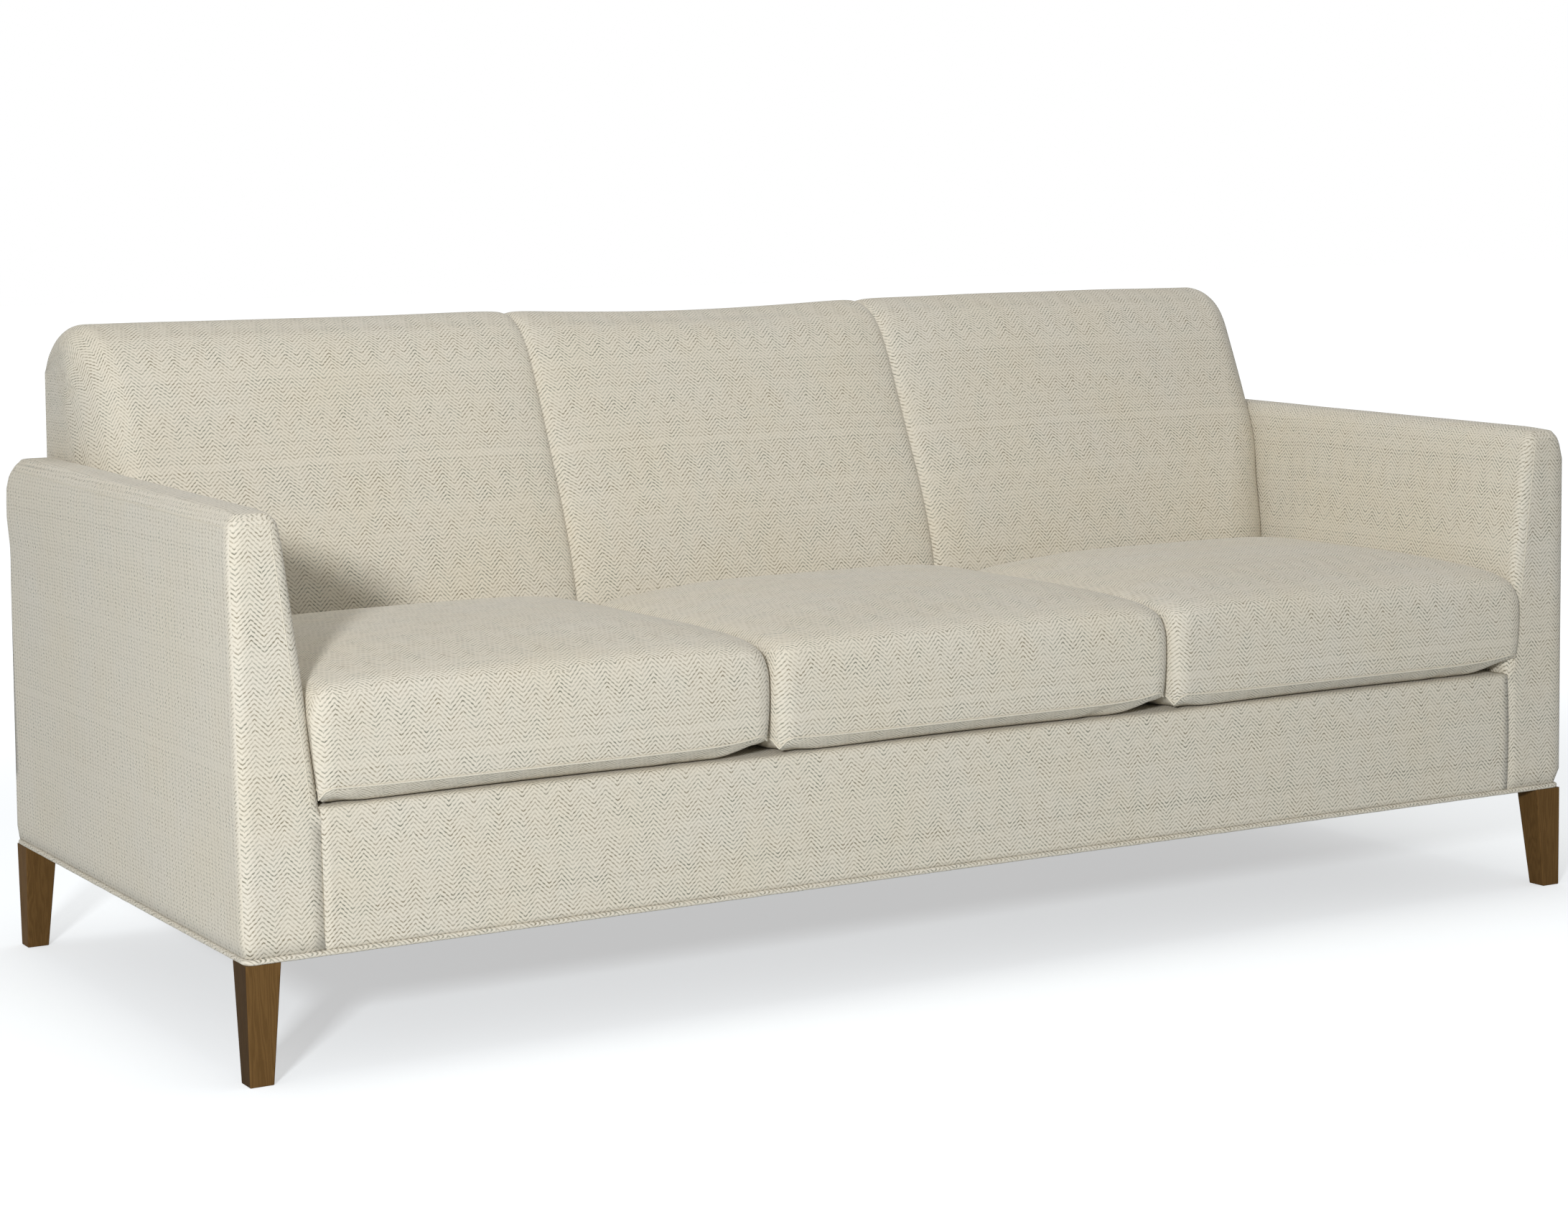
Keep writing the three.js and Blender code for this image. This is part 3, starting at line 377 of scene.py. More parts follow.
foam = make_speckled(
    "foam", linear(238, 228, 192), linear(224, 212, 172), 260.0, 0.9, relief=0.8 * MM)
spring_steel = make_speckled(
    "spring_steel", linear(120, 124, 130), linear(88, 91, 96), 90.0, 0.38, 1.0, 0.1 * MM)
plated_steel = make_speckled(
    "plated_steel", linear(186, 188, 190), linear(160, 162, 166), 120.0, 0.35, 1.0, 0.1 * MM)
zip_brass = make_speckled(
    "zip_brass", linear(176, 160, 118), linear(142, 128, 92), 150.0, 0.34, 1.0, 0.1 * MM)
thread = make_speckled("cream_thread", linear(226, 220, 204), linear(206, 199, 182), 900.0, 0.85)
webbing = make_speckled(
    "jute_webbing", linear(190, 164, 118), linear(150, 124, 84), 140.0, 0.92,
    relief=0.8 * MM, stretch=(6, 1, 1))
dust_cloth = make_speckled(
    "dust_cloth", linear(44, 44, 47), linear(28, 28, 31), 420.0, 0.95, relief=0.3 * MM)
print("materials:", len(bpy.data.materials))

# %% [markdown]
# ## Turning a bmesh into a piece
# Each piece is modelled in a bmesh at its true place, so its object stays at the origin. The helper
# below gives it a name and a material, says which body it rides on, and hides the plain pieces of
# the carpenter's model that it stands for.


# %% Piece helpers
def finish_piece(name, bm, material, body, replaces=(), flat=False):
    """Writes a bmesh to a new object that rides on a body of the model."""
    mesh = bpy.data.meshes.new(name)
    bm.normal_update()
    bm.to_mesh(mesh)
    bm.free()
    mesh.materials.append(material)
    if not flat:
        mesh.shade_smooth()
    piece = bpy.data.objects.new(name, mesh)
    bpy.context.scene.collection.objects.link(piece)
    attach(piece, body)
    if replaces:
        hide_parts(*replaces)
    return piece


def slice_at(bm, axis, place):
    """Cuts the mesh with a plane across an axis."""
    normal = Vector((axis == 0, axis == 1, axis == 2))
    geometry = bm.verts[:] + bm.edges[:] + bm.faces[:]
    bmesh.ops.bisect_plane(bm, geom=geometry, plane_co=normal * place, plane_no=normal, dist=0.1 * MM)


def slice_every(bm, axis, low, high, step):
    """Cuts the mesh with evenly spaced planes, so that it can bend."""
    count = max(int(round((high - low) / step)), 1)
    for k in range(1, count):
        slice_at(bm, axis, low + k * (high - low) / count)


def lay_fabric(bm, place_of):
    """Writes the fabric's own coordinates, in metres, for each corner of each face."""
    layer = bm.loops.layers.uv.new(FABRIC_MAP)
    for face in bm.faces:
        for loop in face.loops:
            loop[layer].uv = place_of(face, loop.vert.co)


def smooth(bm, factor, repeat, vertices=None):
    """Relaxes vertices towards their neighbours."""
    for _ in range(repeat):
        bmesh.ops.smooth_vert(
            bm, verts=vertices or bm.verts[:], factor=factor,
            use_axis_x=True, use_axis_y=True, use_axis_z=True)


def round_edges(bm, edges, radius, segments):
    bmesh.ops.bevel(
        bm, geom=edges, offset=radius, offset_type="OFFSET", affect="EDGES",
        segments=segments, profile=0.5, material=-1, clamp_overlap=False)


def soft_noise(point, size, height, seed=0.0):
    """A gentle swell that repeats about every `size` metres."""
    return height * noise.noise(Vector(point) / size + Vector((seed, seed, seed)))


def soften(value, low, high):
    """0 at low, 1 at high, with an even S-shaped rise."""
    share = min(max((value - low) / (high - low), 0.0), 1.0)
    return share * share * (3 - 2 * share)


# %% [markdown]
# ## Sizes from the model
# The arms, the back and the deck all meet, so their shared planes are measured once from the model's
# pieces. A few sizes don't show in a piece's box, such as how far the arm's top rises to the rear,
# and these are written down here.

# %% Shared sizes
arm_low, arm_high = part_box("arm_cover_right")
back_low, back_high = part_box("inside_back_cover")
outside_low, outside_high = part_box("outside_back_cover")
deck_low, deck_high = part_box("deck_cover")
ARM_RISE = 19 * MM
ARM_REAR_RADIUS = 28 * MM
REAR_LEAN = 0.07
COVER_THICKNESS = 3 * MM
FIT = 0.3 * MM
body_half = arm_high.x
front_y = arm_low.y
deck_z = deck_high.z
arm_front_top = arm_high.z - ARM_RISE
arm_inner_deck = arm_low.x
arm_inner_top = back_high.x + FIT


def rear_y(z):
    """The outside back leans forward a little as it rises."""
    return outside_high.y - REAR_LEAN * (z - outside_low.z)


def arm_inner_x(z):
    """The inner face of the right arm: upright to the deck, then leaning outwards."""
    rise = min(max((z - deck_z) / (arm_front_top - deck_z), 0.0), 1.0)
    return arm_inner_deck + rise * (arm_inner_top - arm_inner_deck)


print("arm inner face:", round(arm_inner_x(deck_z), 3), "to", round(arm_inner_x(arm_front_top), 3))

# %% [markdown]
# ## The arms
# A slim track arm is a box of boards with a thin pad, under a cover sewn from four panels: one over
# the inside and the top, one outside, one on the front and one at the rear, hidden by the back. We
# start from a cube, lean its inner and rear faces, round the edges with bevels, slice it so that it
# can bend, and then let the pad push the faces out by a few millimetres. The fabric is laid panel by
# panel, so the zigzags turn where the seams are. The left arm is made in the same way and mirrored.
# On the sofa in the photograph the right arm's outer panel bulges more, so each side has its swell.

# %% Right arm shape
ARM_EDGE_RADIUS = 14 * MM
ARM_PADDING = 4 * MM
ARM_CORNER_SWELL = 4 * MM
ARM_OUTER_SWELL = {-1: -1 * MM, 1: 8 * MM}
ARM_TOP_FULLNESS = 6 * MM
ARM_FULL_HEIGHTS = (0.55, 0.62)
ARM_CROWN = 4.4 * MM
ARM_SLICE = 20 * MM


def arm_top_z(y):
    """The arm's top rises from the front to the rear."""
    return arm_front_top + ARM_RISE * (y - front_y) / (rear_y(arm_high.z) - front_y)


def make_arm_bmesh():
    bm = bmesh.new()
    bmesh.ops.create_cube(bm, size=1)
    geometry = bm.verts[:] + bm.edges[:] + bm.faces[:]
    bmesh.ops.bisect_plane(bm, geom=geometry, plane_co=(0, 0, 0), plane_no=(0, 0, 1))
    for vert in bm.verts:
        is_top, is_middle = vert.co.z > 0.4, abs(vert.co.z) < 0.1
        is_rear, is_outer = vert.co.y > 0, vert.co.x > 0
        z = arm_low.z if not (is_top or is_middle) else deck_z
        if is_top:
            z = arm_front_top + (ARM_RISE if is_rear else 0)
        y = rear_y(z) - COVER_THICKNESS - FIT if is_rear else front_y
        vert.co = Vector((body_half if is_outer else arm_inner_x(z), y, z))
    return bm


def is_seen_edge(edge):
    """The arm's long edges, without the flat joins, the bottom and the rear, which the back hides."""
    corners = [vert.co for vert in edge.verts]
    highest = max(co.z for co in corners)
    on_rear = all(co.y > rear_y(co.z) - 2 * COVER_THICKNESS for co in corners)
    hidden = on_rear and highest < arm_high.z - ARM_REAR_RADIUS + 1 * MM
    meets_deck = highest < deck_z + 1 * MM and all(co.x < body_half - 1 * MM for co in corners)
    is_sharp = edge.calc_face_angle(0) > 0.6
    return is_sharp and highest > arm_low.z + 1 * MM and not (hidden or meets_deck)


def make_arm(side, name):
    bm = make_arm_bmesh()
    rear_top_z = arm_front_top + ARM_RISE / 2
    rear_top = [edge for edge in bm.edges if all(vert.co.z > rear_top_z for vert in edge.verts)]
    round_edges(bm, rear_top, ARM_REAR_RADIUS, 8)
    round_edges(bm, [edge for edge in bm.edges if is_seen_edge(edge)], ARM_EDGE_RADIUS, 5)
    slice_every(bm, 1, front_y, rear_y(0), ARM_SLICE)
    slice_every(bm, 2, arm_low.z, arm_high.z, ARM_SLICE)
    slice_every(bm, 0, arm_inner_deck, body_half, ARM_SLICE)
    bmesh.ops.remove_doubles(bm, verts=bm.verts[:], dist=0.2 * MM)
    pad_arm(bm, side)
    bmesh.ops.recalc_face_normals(bm, faces=bm.faces[:])
    lay_fabric(bm, arm_fabric_place)
    # The outer panel has its own material: its weave looks finer in the light from the left.
    for face in bm.faces:
        face.material_index = 1 if face.normal.x > 0.72 else 0
    if side < 0:
        bmesh.ops.scale(bm, vec=(-1, 1, 1), verts=bm.verts[:])
        bmesh.ops.reverse_faces(bm, faces=bm.faces[:])
    piece = finish_piece(
        name, bm, fabric, "sofa_body", [f"arm_cover_{SIDE_NAMES[side]}"])
    piece.data.materials.append(side_fabric)
    return piece


# %% Arm padding and fabric
def pad_arm(bm, side):
    """Pushes the long faces out in their middles, least at the edges and where a neighbour touches."""
    for vert in bm.verts:
        x, y, z = vert.co
        along = soften(y - front_y, 0, 60 * MM) * soften(rear_y(z) - y, 0, 90 * MM)
        upright = soften(z - arm_low.z, 0, 8 * MM) * soften(arm_top_z(y) - z, 0, 40 * MM)
        swell = ARM_PADDING * (0.75 + soft_noise((y, z, 0), 0.22, 0.5))
        outwards = soften(x, body_half - ARM_EDGE_RADIUS, body_half)
        outer_swell = swell * along + ARM_CORNER_SWELL * (1 - along) + ARM_OUTER_SWELL[side]
        outer_swell += ARM_TOP_FULLNESS * soften(z, *ARM_FULL_HEIGHTS) * soften(y, 0, rear_y(z))
        vert.co.x += outwards * upright * outer_swell
        if x < arm_inner_x(z) + ARM_EDGE_RADIUS and z > deck_z:
            inwards = 1 - soften(x - arm_inner_x(z), 0, ARM_EDGE_RADIUS)
            before_back = soften(back_low.y - y, -20 * MM, 60 * MM)
            low_down = soften(deck_z + 180 * MM - z, 0, 120 * MM)
            at_front = low_down * soften(-y, -front_y - 60 * MM, -front_y)
            vert.co.x -= swell * upright * before_back * inwards * (1 - at_front)
        if z > arm_top_z(y) - 2 * MM:
            middle = (arm_inner_x(z) + body_half) / 2
            crown = 1 - min(abs(x - middle) / (body_half - middle), 1) ** 2
            rise = (0.3 + 0.7 * crown * along) * ARM_CROWN
            vert.co.z += rise + crown * soft_noise((y, x, 5), 0.16, 0.8 * MM)


def arm_fabric_place(face, co):
    """The panel that a face belongs to decides how the cloth lies there."""
    normal = face.normal
    if normal.y < -0.72:
        return (co.x, co.z)
    if normal.x > 0.6:
        return (co.y, co.z)
    if normal.y > 0.8:
        return (co.x, co.z)
    return (co.y, co.z + co.x - arm_inner_x(co.z))


SIDE_NAMES = {-1: "left", 1: "right"}
arms = {side: make_arm(side, f"arm_{SIDE_NAMES[side]}") for side in SIDE_NAMES}
print("arm vertices:", len(arms[1].data.vertices))

# %% [markdown]
# ## A path as a thin round cord
# Seam ridges, the bottom welt and threads are all round cords that follow a path. A curve with a
# bevel makes one. Turned into a mesh it can join a bmesh. The fabric lies on it in a plain way,
# because a cord this thin hardly shows its weave.


# %% Cords
CORD_SIDES = 3


def add_cord(bm, points, radius, closed):
    """Adds a round tube along a list of points to a bmesh."""
    curve = bpy.data.curves.new("path", "CURVE")
    curve.dimensions = "3D"
    curve.bevel_depth = radius
    curve.bevel_resolution = CORD_SIDES
    curve.use_fill_caps = not closed
    spline = curve.splines.new("POLY")
    spline.points.add(len(points) - 1)
    for place, point in zip(spline.points, points):
        place.co = (*point, 1)
    spline.use_cyclic_u = closed
    holder = bpy.data.objects.new("path", curve)
    mesh = bpy.data.meshes.new_from_object(holder)
    bm.from_mesh(mesh)
    bpy.data.objects.remove(holder)
    bpy.data.curves.remove(curve)
    bpy.data.meshes.remove(mesh)


def make_cords(name, paths, radius, material, body="sofa_body", closed=False, replaces=()):
    bm = bmesh.new()
    for points in paths:
        add_cord(bm, points, radius, closed)
    bmesh.ops.remove_doubles(bm, verts=bm.verts[:], dist=0.01 * MM)
    lay_fabric(bm, lambda face, co: (co.x + co.y, co.z - 0.5 * co.y))
    return finish_piece(name, bm, material, body, replaces)


# %% [markdown]
# ## Seams on the arms
# The front panel of an arm is joined to the panel over the inside and the top by a seam that shows
# as a fine ridge, and another one runs below the arm's outer top edge. The path of a seam is only
# roughly known, so each of its points is moved to the nearest place on the arm's own surface.


# %% Arm seams
ARM_SEAM_RADIUS = 0.6 * MM
ARM_SEAM_STEP = 8 * MM


def surface_of(piece):
    """A search tree over a piece's surface."""
    corners = [vert.co for vert in piece.data.vertices]
    return BVHTree.FromPolygons(corners, [face.vertices for face in piece.data.polygons])


def lay_on(surface, points):
    return [surface.find_nearest(Vector(point))[0] for point in points]


def stretch(first, last, step):
    """Evenly spaced values from first to last."""
    count = max(int(abs(last - first) / step), 1)
    return [first + (last - first) * k / count for k in range(count + 1)]


def arm_seam_paths(side):
    inner_edge = [
        (side * (arm_inner_x(z) + ARM_EDGE_RADIUS * 0.9), front_y, z)
        for z in stretch(deck_z, arm_front_top - ARM_EDGE_RADIUS, ARM_SEAM_STEP)]
    top_edge = [
        (side * x, front_y, arm_front_top - ARM_EDGE_RADIUS * 0.9)
        for x in stretch(arm_inner_top + ARM_EDGE_RADIUS, body_half - ARM_EDGE_RADIUS, ARM_SEAM_STEP)]
    outer_edge = [
        (side * body_half, y, arm_top_z(y) - ARM_EDGE_RADIUS)
        for y in stretch(front_y + ARM_EDGE_RADIUS, rear_y(arm_high.z) - ARM_REAR_RADIUS, ARM_SEAM_STEP)]
    surface = surface_of(arms[side])
    return [lay_on(surface, inner_edge + top_edge), lay_on(surface, outer_edge)]


for side, side_name in SIDE_NAMES.items():
    make_cords(f"arm_{side_name}_seams", arm_seam_paths(side), ARM_SEAM_RADIUS, thread)
print("arm seams laid")

# %% [markdown]
# ## The bottom welt
# A thin cord in a strip of the same cloth runs round the lower edge of the body and closes at the
# rear. In the model it is a plain eight-sided tube, and here it becomes round and goes up and down
# a little, as a strip does where it was sewn in.

# %% Bottom welt
welt_low, welt_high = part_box("bottom_welt")
WELT_RADIUS = 3 * MM
WELT_CORD_RADIUS = 3.6 * MM
WELT_CORNER_RADIUS = 10 * MM
WELT_STEP = 6 * MM


def rounded_rectangle(low, high, radius, step):
    """Points round a rectangle with rounded corners, starting at the middle of the rear."""
    points = []
    middle = ((low.x + high.x) / 2, high.y)
    arcs = []
    corners = ((high.x, high.y), (high.x, low.y), (low.x, low.y), (low.x, high.y))
    for quarter, (x, y) in enumerate(corners):
        centre_x = x + (-radius if x > 0 else radius)
        centre_y = y + (-radius if y > (low.y + high.y) / 2 else radius)
        angles = [math.pi / 2 - (quarter + k / 6) * math.pi / 2 for k in range(7)]
        arcs.append([
            (centre_x + radius * math.cos(angle), centre_y + radius * math.sin(angle))
            for angle in angles])
    previous = middle
    for arc in [*arcs, [middle]]:
        count = max(int(math.dist(previous, arc[0]) / step), 1)
        for k in range(count):
            points.append(tuple(a + k / count * (b - a) for a, b in zip(previous, arc[0])))
        points.extend(arc[:-1])
        previous = arc[-1]
    return points


welt_line = rounded_rectangle(
    welt_low + Vector((WELT_RADIUS, WELT_RADIUS, 0)), welt_high - Vector((WELT_RADIUS, WELT_RADIUS, 0)),
    WELT_CORNER_RADIUS, WELT_STEP)
welt_z = (welt_low.z + welt_high.z) / 2
welt_points = [
    (x, y, welt_z + soft_noise((x, y, 0), 0.03, 0.35 * MM)) for x, y in welt_line]
bottom_welt = make_cords(
    "bottom_welt_cord", [welt_points], WELT_CORD_RADIUS, fabric, closed=True, replaces=["bottom_welt"])
print("welt points:", len(welt_points))

# %% [markdown]
# ## The front panel and deck
# The cloth below the cushions covers the front rail, rolls over its padded edge and runs back over
# the springs. One sheet does it: a grid is laid along that line, the pad gives it a slight swell,
# and the roll at the top has the radius of the padded rail.

# %% Deck
DECK_EDGE_RADIUS = 6 * MM
DECK_SWELL = 3 * MM
DECK_STEP = 12 * MM
DECK_TUCK = 1.5 * MM


def deck_profile(distance):
    """The point at a distance along the cloth, from the bottom of the front panel."""
    upright = deck_z - DECK_EDGE_RADIUS - deck_low.z
    arc = DECK_EDGE_RADIUS * math.pi / 2
    if distance < upright:
        share = distance / upright
        swell = DECK_SWELL * math.sin(math.pi * min(share * 1.05, 1))
        return deck_low.y - 0.6 * swell, deck_low.z + distance
    if distance < upright + arc:
        angle = (distance - upright) / DECK_EDGE_RADIUS
        return (
            deck_low.y + DECK_EDGE_RADIUS * (1 - math.cos(angle)),
            deck_z - DECK_EDGE_RADIUS * (1 - math.sin(angle)),
        )
    return deck_low.y + DECK_EDGE_RADIUS + distance - upright - arc, deck_z


def grid_sheet(columns, rows, place_of):
    """A grid whose corner (across, up) from 0 to 1 goes where place_of says."""
    bm = bmesh.new()
    bmesh.ops.create_grid(bm, x_segments=columns, y_segments=rows, size=1)
    layer = bm.loops.layers.uv.new(FABRIC_MAP)
    shares = {vert: ((vert.co.x + 1) / 2, (vert.co.y + 1) / 2) for vert in bm.verts}
    placed = {vert: place_of(*share) for vert, share in shares.items()}
    for face in bm.faces:
        for loop in face.loops:
            loop[layer].uv = placed[loop.vert][1]
    for vert, (co, _) in placed.items():
        vert.co = co
    return bm


deck_length = (
    deck_z - deck_low.z - 2 * DECK_EDGE_RADIUS + DECK_EDGE_RADIUS * math.pi / 2
    + deck_high.y - deck_low.y)


def deck_place(across, up):
    x = deck_low.x - DECK_TUCK + across * (deck_high.x - deck_low.x + 2 * DECK_TUCK)
    distance = up * deck_length
    y, z = deck_profile(distance)
    on_front = 1 - soften(distance, deck_z - deck_low.z - 30 * MM, deck_z - deck_low.z)
    y += on_front * soft_noise((x, 0, z), 0.25, 0.8 * MM, 3)
    return Vector((x, y, z)), (x, distance)


def make_deck():
    columns = int((deck_high.x - deck_low.x) / DECK_STEP)
    rows = int(deck_length / (DECK_STEP / 2))
    bm = grid_sheet(columns, rows, deck_place)
    bm.normal_update()
    bmesh.ops.solidify(bm, geom=bm.faces[:], thickness=COVER_THICKNESS)
    bmesh.ops.recalc_face_normals(bm, faces=bm.faces[:])
    piece = finish_piece("deck_panel", bm, fabric, "sofa_body", ["deck_cover"])
    return piece


deck = make_deck()
print("deck cloth:", round(deck_length, 3), "m from hem to rear")

# %% [markdown]
# ## The sectioned back
# The inside back is one padded form, pulled in along two deep seams so that it reads as three soft
# sections. Seen from the side, its face leans back, rolls over a rounded top and ends at the rear
# edge. Seen from above, each section is full in its middle and dives into the seams, and both ends
# turn round in a wide curve towards the rear, one rounder than the other as in the photograph. A grid
# follows both lines, and the pull of the seams is an inward move along the profile's own normal.

# %% Back profile
# Shares of the depth and of the height, from the seat up over the top to the rear edge.
PROFILE_SHARES = [
    (0, 0), (0.062, 0.29), (0.154, 0.475), (0.272, 0.636), (0.444, 0.854), (0.549, 0.942),
    (0.66, 0.985), (0.775, 1), (0.889, 0.982), (0.969, 0.938), (1, 0.878)]
SEAM_RECESS_SHARES = [1, 1, 1, 1, 0.9, 0.7, 0.5, 0.4, 0.3, 0.2, 0]
END_DEPTH_SHARES = {
    -1: [0.66, 0.66, 0.72, 1.0, 1.0, 0.75, 0.45, 0.34, 0.3, 0.2, 0.04],
    1: [0.66, 0.66, 0.68, 0.46, 0.4, 0.3, 0.25, 0.26, 0.27, 0.2, 0.04]}
END_WIDTH_SHARES = {
    -1: [1, 1, 0.9, 0.65, 0.58, 0.5, 0.4, 0.36, 0.32, 0.25, 0.1],
    1: [1, 1, 0.88, 0.6, 0.5, 0.38, 0.31, 0.3, 0.3, 0.25, 0.1]}
SEAM_X = 298 * MM
SEAM_DEPTH = 17 * MM
END_DEPTH = 110 * MM
END_WIDTH = 100 * MM
END_PRESS = 14 * MM
END_PROUD = 7 * MM
TOP_DIPS = (2 * MM, 9 * MM, -1.5 * MM)
back_edge_z = deck_z + PROFILE_SHARES[-1][1] * (back_high.z - deck_z)
back_edge_y = rear_y(back_edge_z)


def along_list(values, share):
    """A smooth value between listed ones, by a Catmull-Rom curve."""
    place = share * (len(values) - 1)
    k = min(int(place), len(values) - 2)
    t = place - k
    before, first, second, after = (
        values[max(k - 1, 0)], values[k], values[k + 1], values[min(k + 2, len(values) - 1)])
    return 0.5 * (
        2 * first + (second - before) * t
        + (2 * before - 5 * first + 4 * second - after) * t * t
        + (3 * first - before - 3 * second + after) * t * t * t)


def back_profile(up):
    """The fullest point of the back at a share of the way up and over, and its inward normal."""
    def point(share):
        depth = along_list([d for d, _ in PROFILE_SHARES], share)
        rise = along_list([r for _, r in PROFILE_SHARES], share)
        return Vector((
            back_low.y + depth * (back_edge_y - back_low.y),
            back_low.z + rise * (back_high.z - back_low.z)))
    step = 0.004
    along = (point(min(up + step, 1)) - point(max(up - step, 0))).normalized()
    inward = Vector((along.y, -along.x))
    flat_foot = soften(up, 0, 0.06)
    flat_edge = soften(up, 0.94, 1)
    inward = inward.lerp(Vector((1, 0)), 1 - flat_foot).lerp(Vector((-1, 0)), flat_edge)
    return point(up), inward


# %% Back across
WRAP_COLUMNS = 9
END_COLUMNS = 6
SECTION_COLUMNS = 56
BACK_ROWS = 92
SECTION_SWELL = 3 * MM
SEAM_SOFTNESS = 32 * MM
SEAM_SHARPNESS = 4 * MM


def across_stations():
    """Columns across the back: (kind, share) from the left end face to the right one."""
    wrap = [("wrap", k / WRAP_COLUMNS) for k in range(WRAP_COLUMNS)]
    end = [("end", k / END_COLUMNS) for k in range(END_COLUMNS)]
    left = [(-1, *station) for station in [*end, *wrap]]
    right = [(1, *station) for station in [*end, *wrap]][::-1]
    middle = []
    for section in range(3):
        last = section == 2
        for k in range(SECTION_COLUMNS + (1 if last else 0)):
            # Columns stand closer together near the seams, where the cloth dives in.
            share = k / SECTION_COLUMNS
            eased = 0.5 - 0.5 * math.cos(math.pi * share)
            middle.append((section, "section", 0.25 * share + 0.75 * eased))
    return [*left, *middle, *right]


stations = across_stations()


def seam_shape(distance, up):
    """How far the cloth is pulled in beside a seam: a wide soft valley with a sharp cut in it."""
    softness = SEAM_SOFTNESS * (1 - 0.6 * soften(up, 0.4, 0.6))
    return 0.55 * math.exp(-distance / softness) + 0.45 * math.exp(-distance / SEAM_SHARPNESS)


def back_place(across, up):
    group, kind, share = stations[round(across * (len(stations) - 1))]
    point, inward = back_profile(up)
    seam_pull = SEAM_DEPTH * along_list(SEAM_RECESS_SHARES, up)
    depths, widths = (
        {side: size * along_list(shares[side], up) for side in (-1, 1)}
        for size, shares in ((END_DEPTH, END_DEPTH_SHARES), (END_WIDTH, END_WIDTH_SHARES)))
    wall_x = arm_inner_x(point.y) - FIT
    # Beside the arm the back is pressed against it, so its round end would reach past the arm's face.
    above_arm = soften(point.y, arm_front_top - 50 * MM, arm_front_top + 20 * MM)
    end_x = wall_x + END_PRESS * (1 - above_arm) + END_PROUD * above_arm
    widest = wall_x + END_PROUD * soften(point.y, arm_front_top, arm_front_top + 50 * MM)
    if kind == "section":
        edges = [-end_x + widths[-1], -SEAM_X, SEAM_X, end_x - widths[1]]
        length = edges[group + 1] - edges[group]
        x = edges[group] + share * length
        pull = 0
        if group > 0:
            pull += seam_pull * seam_shape(share * length, up)
        if group < 2:
            pull += seam_pull * seam_shape((1 - share) * length, up)
        swell = SECTION_SWELL * math.sin(math.pi * share) * soften(up, 0.05, 0.3)
        swell *= 1 - 0.8 * soften(up, 0.5, 0.6)
        dip = TOP_DIPS[group] * soften(up, 0.45, 0.6) * (1 - soften(up, 0.84, 0.94))
        swell -= dip * math.sin(math.pi * share)
        place = point + inward * (pull - swell + soft_noise((x, point.x, point.y), 0.2, 1.6 * MM, 2))
        cloth_u = x
    elif kind == "wrap":
        depth, width = depths[group], widths[group]
        turn = share * math.pi / 2
        x = end_x - width * (1 - math.cos(turn))
        place = point + inward * (depth * (1 - math.sin(turn)))
        cloth_u = group * (end_x - width + (width + depth) / 2 * (math.pi / 2 - turn))
        x = group * min(x, widest)
    else:
        depth, width = depths[group], widths[group]
        start = point + inward * depth
        rear_z = min(start.y, back_edge_z)
        rear = Vector((rear_y(rear_z) - COVER_THICKNESS, rear_z))
        place = rear.lerp(start, share)
        x = group * widest
        cloth_u = group * (end_x - width + (width + depth) / 2 * math.pi / 2 + (start - place).length)
    return Vector((x, place.x, place.y)), (cloth_u, 0)


# %% Sew the back
def back_arc_lengths():
    """How far up the cloth each row lies, measured along the fullest profile."""
    lengths, total = [0.0], 0.0
    previous = back_profile(0)[0]
    for k in range(1, BACK_ROWS + 1):
        point = back_profile(k / BACK_ROWS)[0]
        total += (point - previous).length
        lengths.append(total)
        previous = point
    return lengths


arc_lengths = back_arc_lengths()


def back_place_and_cloth(across, up):
    place, (cloth_u, _) = back_place(across, up)
    return place, (cloth_u, arc_lengths[round(up * BACK_ROWS)])


def make_back():
    bm = grid_sheet(len(stations) - 1, BACK_ROWS, back_place_and_cloth)
    bmesh.ops.remove_doubles(bm, verts=bm.verts[:], dist=0.05 * MM)
    bmesh.ops.recalc_face_normals(bm, faces=bm.faces[:])
    piece = finish_piece(
        "sectioned_back", bm, fabric, "sofa_body", ["inside_back_cover"])
    finish = piece.modifiers.new("smooth", "SUBSURF")
    finish.levels = finish.render_levels = 1
    return piece


back = make_back()
print("back vertices:", len(back.data.vertices), "cloth rises", round(arc_lengths[-1], 3), "m")

# %% [markdown]
# ## The seat cushions
# A loose seat cushion is a foam core with a fibre wrap in a boxed cover: a top and a bottom panel
# joined by a band. The cover is cut a little small, so the filling pushes the panels out between
# the seams. That is just what cloth simulation does with air pressure. We start with a sliced box,
# hold the two seam loops where the sewing holds them, and blow it up. Then the cushion is pressed
# back from its neighbours, and the crease of the top seam is eased, because the fibre rounds it.

# %% Cushion sizes
CUSHION_SLICE = 13 * MM
CUSHION_CORNER = 24 * MM
EDGE_SLICES = (2 * MM, 5 * MM, 9 * MM)
CROWN_START = 34 * MM
CROWN_ROUNDNESS = 7
CROWN_FULLNESS = 2.4
CROWN_STEEPNESS = 0.7
SEAM_INSET = 2 * MM
BOXING_SWELL = 3 * MM
UNDER_DEPTH = 26 * MM
UNDER_TURN = 14 * MM
OVERHANG_DROP = 8 * MM
TOP_EDGE_BAND = 26 * MM
FRONT_SWELL = 9 * MM
SEAM_LOW_Z = deck_z + 21 * MM
BOXING = 125 * MM
SEAM_HIGH_Z = SEAM_LOW_Z + BOXING
CORNER_LIFT = 15 * MM
CORNER_POWER = 8
CORNER_LEFT_SHARE = 0.25
CORE_INSET = 11 * MM
RIGHT_END_BULGE = 11 * MM
